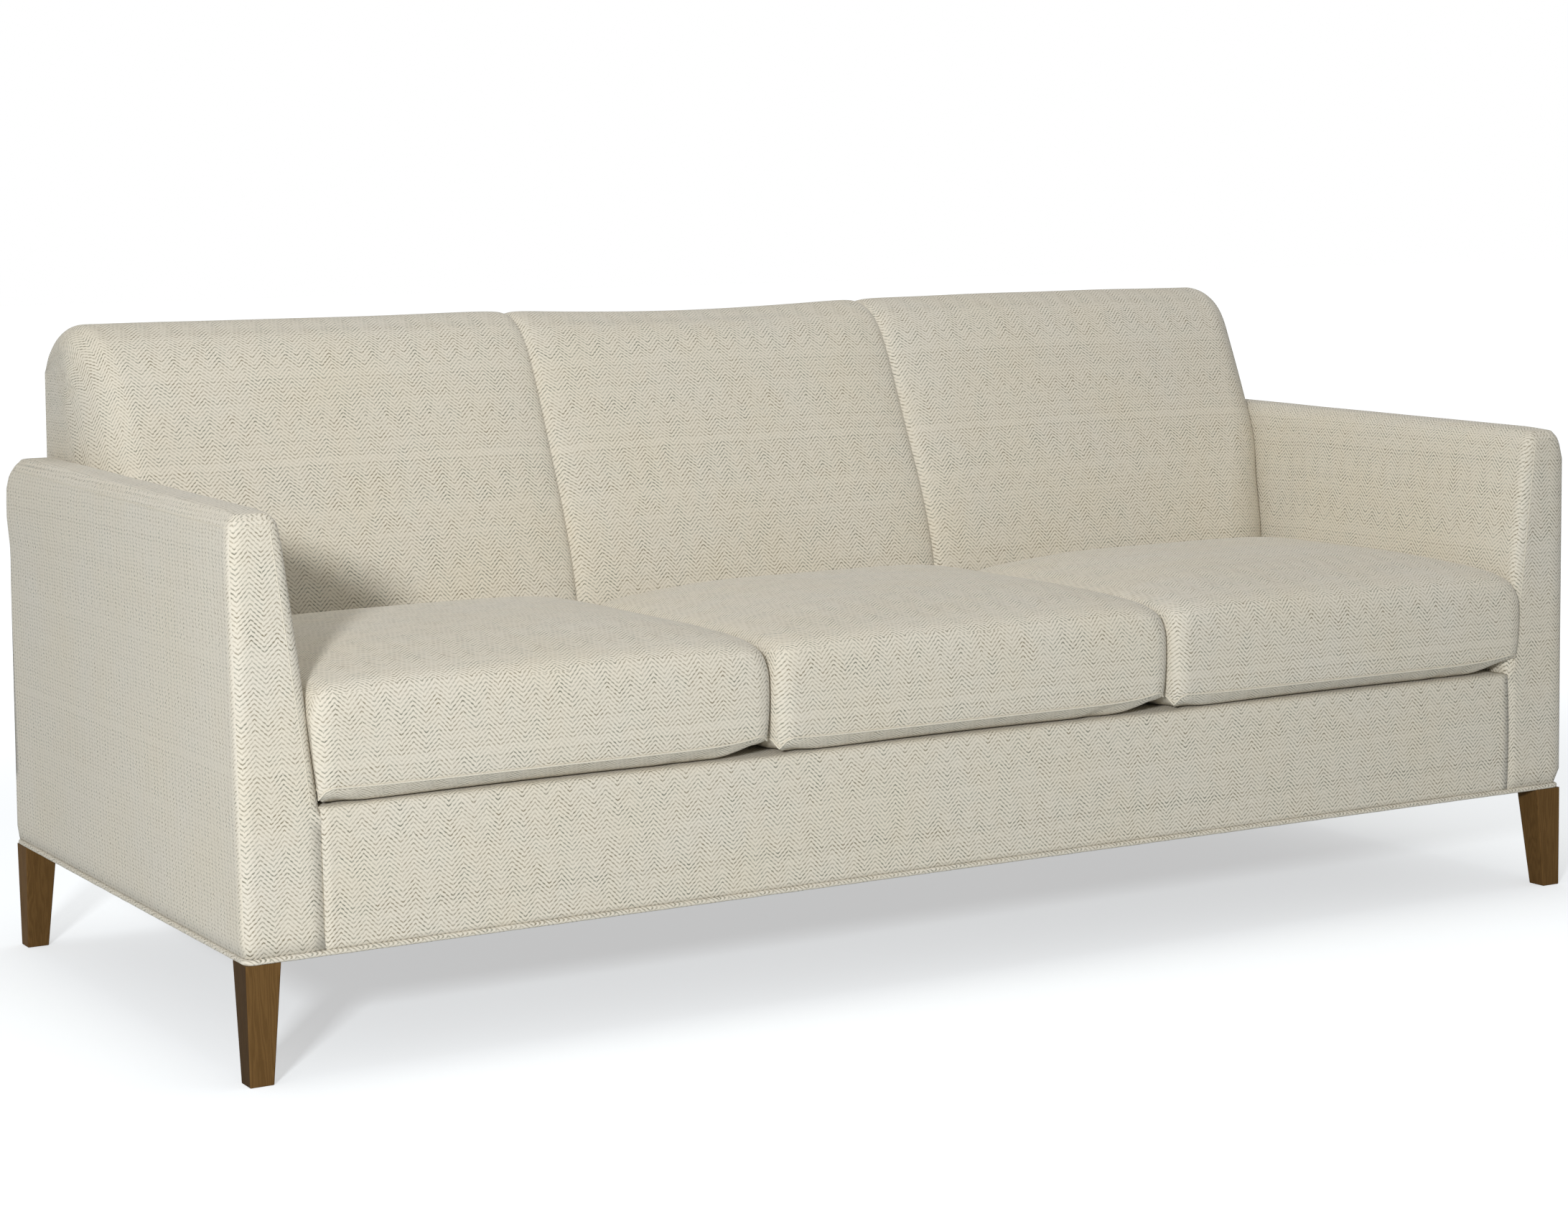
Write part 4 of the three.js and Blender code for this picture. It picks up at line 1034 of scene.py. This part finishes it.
FRONT_SPREAD = (7 * MM, 13 * MM, 19 * MM)
ZIP_ROOM = 2 * MM
CUSHION_CAP = 24 * MM
SEAT_NAMES = ("left", "centre", "right")


def cushion_box(name):
    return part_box(f"seat_cushion_cover_{name}")


def make_cushion_start(low, high, cover_rear):
    """A sliced box with rounded upright corners."""
    bm = bmesh.new()
    bmesh.ops.create_cube(bm, size=1)
    size = (high.x - low.x, cover_rear - low.y, BOXING)
    middle = Vector(((low.x + high.x) / 2, (low.y + cover_rear) / 2, (SEAM_LOW_Z + SEAM_HIGH_Z) / 2))
    bmesh.ops.scale(bm, vec=size, verts=bm.verts[:])
    bmesh.ops.translate(bm, vec=middle, verts=bm.verts[:])
    corners = [edge for edge in bm.edges if abs(edge.verts[0].co.z - edge.verts[1].co.z) > BOXING / 2]
    round_edges(bm, corners, CUSHION_CORNER, 4)
    slice_every(bm, 0, low.x, high.x, CUSHION_SLICE)
    slice_every(bm, 1, low.y, cover_rear, CUSHION_SLICE)
    slice_every(bm, 2, SEAM_LOW_Z, SEAM_HIGH_Z, CUSHION_SLICE)
    for axis, plane in ((0, low.x), (0, high.x), (1, low.y), (1, cover_rear)):
        inwards = 1 if plane < middle[axis] else -1
        for distance in EDGE_SLICES:
            slice_at(bm, axis, plane + inwards * distance)
    bmesh.ops.remove_doubles(bm, verts=bm.verts[:], dist=0.5 * MM)
    return bm, middle, size


def fullness(a, b, roundness, power, steepness=1.0):
    """How full a panel is at (a, b), from -1 to 1 each way: 1 in the middle and 0 at the seams."""
    reach = (abs(a) ** roundness + abs(b) ** roundness) ** (1 / roundness)
    return (1 - min(reach, 1) ** power) ** steepness


def corner_share(a, b):
    """How much a corner of a panel lifts: most at the right end, and nearly 0 away from corners."""
    return (abs(a) * abs(b)) ** CORNER_POWER * (1 if a > 0 else CORNER_LEFT_SHARE)


def under_depth(co, middle, size, corner):
    """How far the bottom panel hangs below its seam: it slopes inwards before it turns under."""
    from_edge = min(size[k] / 2 - abs(co[k] - middle[k]) for k in (0, 1))
    slope = 1 - min(max(from_edge, 0) / UNDER_TURN, 1)
    return UNDER_DEPTH * (1 - slope ** 1.3) * (1 - 0.6 * corner)


def shape_cushion(co, middle, size, inset=0.0):
    """Moves a point of the sliced box to where the filling holds it, `inset` inside the cover."""
    a, b = (2 * (co[k] - middle[k]) / size[k] for k in (0, 1))
    height = (co.z - SEAM_LOW_Z) / BOXING
    waist = 1 - (2 * height - 1) ** 2
    corner = corner_share(a, b)
    moved = co.copy()
    if height > 0.999:
        moved.z += CROWN_START * fullness(a, b, CROWN_ROUNDNESS, CROWN_FULLNESS, CROWN_STEEPNESS) - inset
    elif height < 0.001:
        moved.z += CORNER_LIFT * corner + 1.5 * inset - under_depth(co, middle, size, corner)
    edge_a, edge_b = (abs(v) ** 12 if abs(v) > 0.9 else 0 for v in (a, b))
    swell = FRONT_SWELL if b < 0 else BOXING_SWELL
    out_x = (SEAM_INSET + BOXING_SWELL) * waist - SEAM_INSET - inset
    out_y = SEAM_INSET * (waist - 1) + swell * (0.85 + 0.15 * waist) - inset
    moved.x += math.copysign(edge_a, a) * out_x
    moved.y += math.copysign(edge_b, b) * out_y
    return moved


# %% Blow up the cushions
def simulate_cushion(piece, held, frames=20, pressure=6.0):
    """Runs a cloth simulation with air pressure, holding one vertex group still."""
    cloth = piece.modifiers.new("cloth", "CLOTH")
    settings = cloth.settings
    settings.quality = 5
    settings.mass = 0.35
    settings.tension_stiffness = 30
    settings.compression_stiffness = 30
    settings.shear_stiffness = 15
    settings.bending_stiffness = 2
    settings.use_pressure = True
    settings.uniform_pressure_force = pressure
    settings.effector_weights.gravity = 0
    settings.vertex_group_mass = held
    settings.pin_stiffness = 1
    cloth.collision_settings.use_collision = False
    cloth.point_cache.frame_start = 1
    cloth.point_cache.frame_end = frames
    scene = bpy.context.scene
    for frame_number in range(1, frames + 1):
        scene.frame_set(frame_number)
    graph = bpy.context.evaluated_depsgraph_get()
    shaped = bpy.data.meshes.new_from_object(piece.evaluated_get(graph))
    moved = [vert.co.copy() for vert in shaped.vertices]
    piece.modifiers.remove(cloth)
    bpy.data.meshes.remove(shaped)
    scene.frame_set(1)
    return moved


def make_cushion(index, name):
    low, high = cushion_box(name)
    bm, middle, size = make_cushion_start(low, high, high.y - ZIP_ROOM)
    bm.verts.index_update()
    bm.normal_update()
    seams = []
    for vert in bm.verts:
        on_band = any(abs(face.normal.z) < 0.5 for face in vert.link_faces)
        if on_band and min(vert.co.z - SEAM_LOW_Z, SEAM_HIGH_Z - vert.co.z) < 0.5 * MM:
            seams.append(vert.index)
        vert.co = shape_cushion(vert.co, middle, size)
    piece = finish_piece(
        f"seat_cushion_{name}_cover", bm, fabric, f"seat_cushion_{name}",
        [f"seat_cushion_cover_{name}"])
    group = piece.vertex_groups.new(name="seams")
    group.add(seams, 1, "REPLACE")
    start = [vert.co.copy() for vert in piece.data.vertices]
    moved = simulate_cushion(piece, "seams")
    settle_cushion(piece, start, moved, low, high, index)
    relax_top_edge(piece)
    lay_cushion_fabric(piece, middle, middle.y - size[1] / 2)
    finish = piece.modifiers.new("smooth", "SUBSURF")
    finish.levels = finish.render_levels = 1
    return piece


# %% Let a cushion settle between its neighbours
def press(value, low, high, soft):
    """Keeps a value between two limits, slowing down over the last stretch."""
    if value > high - soft:
        value = high - soft + soft * math.tanh((value - high + soft) / soft)
    if value < low + soft:
        value = low + soft - soft * math.tanh((low + soft - value) / soft)
    return value


def settle_cushion(piece, start, moved, low, high, index):
    for vert, before, after in zip(piece.data.vertices, start, moved):
        step = after - before
        if step.length > CUSHION_CAP:
            step *= CUSHION_CAP / step.length
        co = before + step
        in_front = soften(front_y - co.y, -6 * MM, 6 * MM)
        before_arm = FRONT_SPREAD[index] * in_front - 1 * MM
        if index == 2:
            co.x += RIGHT_END_BULGE * in_front * soften(co.x, high.x - 60 * MM, high.x - 10 * MM)
        left = -arm_inner_x(co.z) - before_arm if index == 0 else low.x + 0.2 * MM
        right = arm_inner_x(co.z) + before_arm if index == 2 else high.x - 0.2 * MM
        co.x = press(co.x, left, right, 3 * MM)
        co.y = press(co.y, low.y - FRONT_SWELL - 2 * MM, high.y, 4 * MM)
        lowest = deck_z + 0.5 * MM - OVERHANG_DROP * soften(front_y - 3 * MM - co.y, 0, 4 * MM)
        co.z = press(co.z, lowest, high.z + 3 * MM, 3 * MM)
        vert.co = co


def relax_top_edge(piece):
    """The fibre wrap rounds the top edge, so the crease at the seam is eased."""
    bm = bmesh.new()
    bm.from_mesh(piece.data)
    smooth(bm, 0.5, 3, [vert for vert in bm.verts if abs(vert.co.z - SEAM_HIGH_Z) < TOP_EDGE_BAND / 2])
    smooth(bm, 0.5, 22, [vert for vert in bm.verts if abs(vert.co.z - SEAM_HIGH_Z) < TOP_EDGE_BAND])
    bm.to_mesh(piece.data)
    bm.free()


def lay_cushion_fabric(piece, middle, front):
    """The top and bottom panels and the band each get their own run of the pattern."""
    bm = bmesh.new()
    bm.from_mesh(piece.data)
    bm.normal_update()

    def place_of(face, co):
        centre = face.calc_center_median()
        back = co.y - front
        if centre.z > SEAM_HIGH_Z - 12 * MM and face.normal.z > 0.5:
            return (co.x, co.z + back)
        if centre.z < SEAM_LOW_Z + 1 * MM:
            return (co.x, co.z - back)
        if face.normal.y > 0.7:
            return (co.x, co.z)
        return (co.x + math.copysign(max(back - 3 * MM, 0), co.x - middle.x), co.z)

    lay_fabric(bm, place_of)
    bm.to_mesh(piece.data)
    bm.free()
    piece.data.shade_smooth()


SEAM_CORD_RADIUS = 1.2 * MM


def seam_loop(piece, height, middle):
    """The points of a cushion's seam near a height, in order round the cushion."""
    group = piece.vertex_groups["seams"].index
    points = [
        vert.co.copy() for vert in piece.data.vertices
        if any(part.group == group for part in vert.groups) and abs(vert.co.z - height) < 2 * CORNER_LIFT]
    return sorted(points, key=lambda co: math.atan2(co.y - middle.y, co.x - middle.x))


def add_seam_cords(name):
    low, high = cushion_box(name)
    middle = (low + high) / 2
    loops = [seam_loop(cushions[name], SEAM_LOW_Z, middle)]
    body = f"seat_cushion_{name}"
    return make_cords(f"{body}_seams", loops, SEAM_CORD_RADIUS, thread, body, closed=True)


def make_core(name):
    """The foam slab inside a cover, with rounded edges and the crown that its fibre wrap gives it."""
    low, high = cushion_box(name)
    bm, middle, size = make_cushion_start(low, high, high.y - ZIP_ROOM)
    for vert in bm.verts:
        vert.co = shape_cushion(vert.co, middle, size, CORE_INSET)
        widest = arm_inner_x(vert.co.z) - CORE_INSET - 2 * MM
        vert.co.x = min(max(vert.co.x, -widest), widest)
    smooth(bm, 0.5, 2)
    piece = finish_piece(
        f"seat_cushion_{name}_foam", bm, foam, f"seat_cushion_{name}",
        [f"seat_cushion_core_{name}"])
    return piece


cushions = {name: make_cushion(index, name) for index, name in enumerate(SEAT_NAMES)}
cores = {name: make_core(name) for name in SEAT_NAMES}
seam_cords = {name: add_seam_cords(name) for name in SEAT_NAMES}
print("cushion vertices:", {name: len(piece.data.vertices) for name, piece in cushions.items()})

# %% [markdown]
# ## The zips
# A zip in the rear band lets the cover come off its core. Its two woven tapes lie side by side on the
# band, and the chain between them is a row of small brass teeth, alternately from the left tape and
# the right one. One tooth is made and copied along the chain. The slider is the model's own piece,
# because it moves along the zip.


# %% Zips
TAPE_WIDTH = 12 * MM
TAPE_THICKNESS = 0.6 * MM
TOOTH_PITCH = 3 * MM
TOOTH_SIZE = Vector((1.7, 1.0, 3.6)) * MM
ZIP_LENGTH = 460 * MM
ZIP_STANDOFF = 1.1 * MM


def add_box(bm, low, high):
    """Adds a box with slightly bevelled edges."""
    made = bmesh.ops.create_cube(bm, size=1)["verts"]
    bmesh.ops.scale(bm, vec=Vector(high) - Vector(low), verts=made)
    bmesh.ops.translate(bm, vec=(Vector(low) + Vector(high)) / 2, verts=made)
    edges = list({edge for vert in made for edge in vert.link_edges})
    bevel = 0.2 * min(abs(Vector(high)[axis] - Vector(low)[axis]) for axis in range(3))
    round_edges(bm, edges, bevel, 1)


def make_zip(name):
    slider_low, slider_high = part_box(f"zip_slider_{name}")
    low, high = cushion_box(name)
    middle_x = (low.x + high.x) / 2
    middle_z = (slider_low.z + slider_high.z) / 2
    face_y = slider_low.y - ZIP_STANDOFF
    start = middle_x - ZIP_LENGTH / 2
    tapes = bmesh.new()
    for side in (-1, 1):
        inner, outer = sorted((middle_z + side * 0.5 * MM, middle_z + side * TAPE_WIDTH))
        add_box(
            tapes, (start - 8 * MM, face_y - TAPE_THICKNESS, inner),
            (start + ZIP_LENGTH + 8 * MM, face_y, outer))
    lay_fabric(tapes, lambda face, co: (co.x, co.z))
    finish_piece(
        f"zip_{name}_tapes", tapes, thread, f"seat_cushion_{name}", flat=True)
    teeth = bmesh.new()
    for k in range(int(ZIP_LENGTH / TOOTH_PITCH)):
        shift = 0.6 * MM * (1 if k % 2 else -1)
        corner = Vector((start + k * TOOTH_PITCH, face_y, middle_z + shift - TOOTH_SIZE.z / 2))
        add_box(teeth, corner, corner + TOOTH_SIZE)
    finish_piece(f"zip_{name}_teeth", teeth, zip_brass, f"seat_cushion_{name}", flat=True)


for name in SEAT_NAMES:
    make_zip(name)
print("zip teeth:", int(ZIP_LENGTH / TOOTH_PITCH), "on each")

# %% [markdown]
# ## The legs
# Each leg is a square wooden peg with two upright outer faces and two inner faces that taper to a
# small foot. A cube does for a start: its lower corners move in, and bevels take the sharp edges off
# as a router would, with a smaller one round the foot.

# %% Legs
LEG_FOOT = 30 * MM
LEG_EDGE = 1.6 * MM


def make_leg(end_name, side_name):
    node = f"leg_{end_name}_{side_name}"
    low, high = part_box(node)
    bm = bmesh.new()
    bmesh.ops.create_cube(bm, size=1)
    bmesh.ops.scale(bm, vec=high - low, verts=bm.verts[:])
    bmesh.ops.translate(bm, vec=(low + high) / 2, verts=bm.verts[:])
    taper = (high.x - low.x) - LEG_FOOT
    for vert in bm.verts:
        if vert.co.z < (low.z + high.z) / 2:
            if abs(vert.co.x) < (abs(low.x) + abs(high.x)) / 2:
                vert.co.x += math.copysign(taper, vert.co.x)
            if abs(vert.co.y) < (abs(low.y) + abs(high.y)) / 2:
                vert.co.y += math.copysign(taper, vert.co.y)
    upright = [edge for edge in bm.edges if abs(edge.verts[0].co.z - edge.verts[1].co.z) > 0.05]
    round_edges(bm, upright, LEG_EDGE, 4)
    foot = [edge for edge in bm.edges if all(vert.co.z < low.z + 0.1 * MM for vert in edge.verts)]
    round_edges(bm, foot, 1.2 * MM, 3)
    slice_every(bm, 2, low.z, high.z, 12 * MM)
    piece = finish_piece(
        node.replace("leg", "wooden_leg"), bm, leg_wood, "sofa_body", [node], flat=True)
    # In the photo the outer side of the front left leg is much darker than its front.
    # That side gets the darker copy of the walnut, which is painted shade and not a stain of its own.
    piece.data.materials.append(leg_wood_painted_shade)
    for face in piece.data.polygons:
        face.material_index = int(node == "leg_front_left" and face.normal.x < -0.9)
    return piece


legs = [make_leg(end, side) for end in ("front", "rear") for side in ("left", "right")]
print("legs:", len(legs))

# %% [markdown]
# ## The outside back
# The rear of the sofa is covered by one flat panel, from arm to arm and up to the rolled top. It is
# tacked over the frame, so it is tight and only just swells. It starts as a thin box with the cloth's
# thickness, leans forward as the frame does, is sliced so that it can swell, and loses its two upper
# corners above the arms.

# %% Outside back
OUTSIDE_STEP = 22 * MM
arm_rear_top = arm_high.z - ARM_REAR_RADIUS
outside_half = body_half - 4 * MM
upper_half = arm_inner_top - FIT
UPPER_PROUD = END_PROUD - 1.5 * MM


def is_front(co):
    """Whether a corner of the panel lies on its front, one cloth's thickness from the rear."""
    return co.y < rear_y(co.z) - COVER_THICKNESS / 2


def make_outside_back():
    bm = bmesh.new()
    bmesh.ops.create_cube(bm, size=1)
    top = outside_high.z
    for vert in bm.verts:
        z = top if vert.co.z > 0 else outside_low.z
        y = rear_y(z) - (0 if vert.co.y > 0 else COVER_THICKNESS)
        vert.co = Vector((math.copysign(outside_half, vert.co.x), y, z))
    slice_every(bm, 0, -outside_half, outside_half, OUTSIDE_STEP)
    slice_every(bm, 2, outside_low.z, arm_rear_top, OUTSIDE_STEP)
    slice_every(bm, 2, arm_rear_top, top, OUTSIDE_STEP)
    geometry = bm.verts[:] + bm.edges[:] + bm.faces[:]
    bmesh.ops.bisect_plane(bm, geom=geometry, plane_co=(0, 0, arm_rear_top), plane_no=(0, 0, 1))
    for side in (-1, 1):
        geometry = bm.verts[:] + bm.edges[:] + bm.faces[:]
        bmesh.ops.bisect_plane(
            bm, geom=geometry, plane_co=(side * upper_half, 0, 0), plane_no=(side, 0, 0))
    beyond = [
        face for face in bm.faces
        if face.calc_center_median().z > arm_rear_top
        and abs(face.calc_center_median().x) > upper_half]
    bmesh.ops.delete(bm, geom=beyond, context="FACES")
    for side in (-1, 1):
        rim = [
            edge for edge in bm.edges if edge.is_boundary and edge.verts[0].co.x * side > 0
            and is_front(edge.verts[0].co) == is_front(edge.verts[1].co)]
        bmesh.ops.bridge_loops(bm, edges=rim)
    for vert in bm.verts:
        x, y, z = vert.co
        if z > arm_rear_top and abs(abs(x) - upper_half) < 0.1 * MM:
            # Above the arms the panel follows the ends of the back, which stand a little proud.
            vert.co.x += math.copysign(UPPER_PROUD * soften(z, arm_front_top, arm_front_top + 50 * MM), x)
        if y > rear_y(z) - COVER_THICKNESS / 2:
            inside = soften(outside_half - abs(x), 0, 80 * MM) * soften(z - outside_low.z, 0, 60 * MM)
            inside *= soften(top - z, 0, 60 * MM)
            vert.co.y += inside * (1.2 * MM + soft_noise((x, 0, z), 0.3, 0.8 * MM, 7))
    bmesh.ops.recalc_face_normals(bm, faces=bm.faces[:])
    lay_fabric(bm, lambda face, co: (co.x, co.z))
    piece = finish_piece(
        "outside_back", bm, fabric, "sofa_body", ["outside_back_cover"])
    piece.data.set_sharp_from_angle(angle=math.radians(50))
    return piece


outside_back = make_outside_back()
print("outside back vertices:", len(outside_back.data.vertices))

# %% [markdown]
# ## The dust cover
# A thin black cloth closes the underside. It is one flat sheet, cut out round the legs and stapled
# to the rails, so it hardly sags. The plain model sheet already has the right outline, so its mesh
# is sliced, made to sag a little between the staples, and given a row of wire staples.

# %% Dust cover
DUST_SLICE = 30 * MM
DUST_SAG = 2 * MM
STAPLE_SPACING = 60 * MM
STAPLE_WIDTH = 10 * MM
STAPLE_INSET = 8 * MM
dust_low, dust_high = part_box("dust_cover")


def make_dust_cover():
    bm = bmesh.new()
    bm.from_mesh(nodes["dust_cover"].data)
    slice_every(bm, 0, dust_low.x, dust_high.x, DUST_SLICE)
    slice_every(bm, 1, dust_low.y, dust_high.y, DUST_SLICE)
    for vert in bm.verts:
        from_edge = min(
            vert.co.x - dust_low.x, dust_high.x - vert.co.x,
            vert.co.y - dust_low.y, dust_high.y - vert.co.y)
        sag = soften(from_edge, 10 * MM, 200 * MM)
        vert.co.z -= DUST_SAG * sag * (1 + soft_noise(vert.co, 0.12, 0.5))
    piece = finish_piece("underside_cloth", bm, dust_cloth, "sofa_body", ["dust_cover"])
    return piece


underside_cloth = make_dust_cover()
staples = bmesh.new()
for x in stretch(dust_low.x + 90 * MM, dust_high.x - 90 * MM, STAPLE_SPACING):
    for y in (dust_low.y + STAPLE_INSET, dust_high.y - STAPLE_INSET):
        add_box(
            staples, (x - STAPLE_WIDTH / 2, y - 0.4 * MM, dust_low.z - 0.6 * MM),
            (x + STAPLE_WIDTH / 2, y + 0.4 * MM, dust_low.z + 0.2 * MM))
finish_piece("underside_staples", staples, plated_steel, "sofa_body", flat=True)

# %% [markdown]
# ## Pieces inside
# The frame boards, springs and bolts keep the carpenter's shapes, since these are right, and get
# their finishes. Boards differ only in the way that their grain runs. The foam pads are cut from the
# plain ones: sliced, relaxed so that their edges turn round, and made a little smaller, so that no
# foam comes through the cloth.

# %% Dress the inner nodes
UPRIGHT_BOARDS = ("arm_front_post", "arm_rear_post", "back_post", "back_upright")
SIDE_BOARDS = ("arm_top_rail", "side_rail", "cross_rail")
INNER_FINISHES = {
    "seat_spring": spring_steel, "leg_bolt": plated_steel,
    "seat_cushion_core": foam, "arm_pad": foam, "back_pad": foam, "deck_pad": foam,
    "back_webbing": webbing, "dust_cover": dust_cloth, "zip_slider": zip_brass,
}


def finish_for(node):
    for start, material in INNER_FINISHES.items():
        if node.startswith(start):
            return material
    if node.startswith(UPRIGHT_BOARDS):
        return post_wood
    return side_wood if node.startswith(SIDE_BOARDS) else rail_wood


def soften_pad(node):
    """A copy of a plain pad with rounded edges, as cut and wrapped foam has."""
    bm = bmesh.new()
    bm.from_mesh(nodes[node].data)
    low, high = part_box(node)
    for axis in range(3):
        slice_every(bm, axis, low[axis], high[axis], PAD_SLICE)
    bmesh.ops.remove_doubles(bm, verts=bm.verts[:], dist=1 * MM)
    middle = (low + high) / 2
    smooth(bm, 0.5, 3)
    for vert in bm.verts:
        vert.co = middle + (vert.co - middle) * PAD_SHRINK
        if node.startswith("back_pad"):
            # The top dips between the seams and the rear of the roll is rounder than the plain pad.
            at_top = soften(vert.co.z, high.z - 120 * MM, high.z)
            vert.co.y -= PAD_TUCK * at_top * soften(vert.co.y, middle.y, high.y)
            vert.co.z -= PAD_DIP * at_top
    piece = finish_piece(f"{node}_foam", bm, foam, "sofa_body", [node])


PAD_SLICE = 30 * MM
PAD_SHRINK = 0.985
PAD_TUCK = 8 * MM
PAD_DIP = 14 * MM
for node in nodes:
    if node.startswith(("arm_pad", "back_pad", "deck_pad")):
        soften_pad(node)

for node, piece in nodes.items():
    piece.data.materials.clear()
    piece.data.materials.append(finish_for(node))

# %% [markdown]
# ## The studio
# The photograph has a white background and a soft shadow, with the light coming from the left.
# The world lights everything evenly, a lamp in front on the left casts the arm's shadow, and a weak
# wide lamp overhead lifts the tops. The floor is pale, with a light of its own that only the camera
# sees, so that it turns white while the shadow on it stays.

# %% Floor
FLOOR_SIZE = 40
FLOOR_GLOW = 0.53
FAR_GLOW = 0.3


def make_floor():
    material, tree, shader = new_material("studio_floor")
    shader.inputs["Base Color"].default_value = (0.72, 0.76, 0.79, 1)
    shader.inputs["Roughness"].default_value = 1
    shader.inputs["Specular IOR Level"].default_value = 0
    shader.inputs["Emission Color"].default_value = (1, 1, 1, 1)
    path = add_node(tree, "ShaderNodeLightPath")
    place = add_node(tree, "ShaderNodeTexCoord").outputs["Object"]
    distance = add_node(tree, "ShaderNodeVectorMath", {0: place}, operation="LENGTH").outputs["Value"]
    glow = plus(tree, FLOOR_GLOW, times(tree, smooth_step(tree, distance, 1.5, 3.5), FAR_GLOW))
    seen = times(tree, path.outputs["Is Camera Ray"], glow)
    tree.links.new(seen, shader.inputs["Emission Strength"])
    bm = bmesh.new()
    bmesh.ops.create_grid(bm, x_segments=1, y_segments=1, size=FLOOR_SIZE)
    mesh = bpy.data.meshes.new("studio_floor")
    bm.to_mesh(mesh)
    bm.free()
    mesh.materials.append(material)
    floor = bpy.data.objects.new("studio_floor", mesh)
    bpy.context.scene.collection.objects.link(floor)
    return floor


floor = make_floor()

# %% Light
WORLD_STRENGTH = 0.325
KEY_POWER = 207
KEY_PLACE = Vector((-3.8, -4.5, 1.9))
KEY_SIZE = 0.5
TOP_POWER = 35
TOP_PLACE = Vector((0.1, 0.3, 4.0))
TOP_SIZE = 3.0


def make_world():
    world = bpy.data.worlds.new("studio")
    world.use_nodes = True
    tree = world.node_tree
    background = tree.nodes["Background"]
    path = add_node(tree, "ShaderNodeLightPath")
    direct = calculate(tree, "MAXIMUM", path.outputs["Is Camera Ray"], calculate(
        tree, "MAXIMUM", path.outputs["Is Glossy Ray"], path.outputs["Is Transmission Ray"]))
    strength = add_node(tree, "ShaderNodeMapRange", {
        "Value": direct, "To Min": WORLD_STRENGTH, "To Max": 1.0})
    background.inputs["Color"].default_value = (1, 1, 1, 1)
    tree.links.new(strength.outputs[0], background.inputs["Strength"])
    bpy.context.scene.world = world


def make_lamp(name, place, target, size, power):
    lamp = bpy.data.objects.new(name, bpy.data.lights.new(name, "AREA"))
    lamp.data.size = size
    lamp.data.energy = power
    lamp.location = place
    lamp.rotation_euler = (Vector(target) - Vector(place)).to_track_quat("-Z", "Y").to_euler()
    bpy.context.scene.collection.objects.link(lamp)
    return lamp


make_world()
key_lamp = make_lamp("key_lamp", KEY_PLACE, (0, 0, 0.4), KEY_SIZE, KEY_POWER)
top_lamp = make_lamp("top_lamp", TOP_PLACE, (0, 0, 0), TOP_SIZE, TOP_POWER)
bpy.context.scene.view_settings.view_transform = "Standard"
print("lamps:", len(bpy.data.lights))
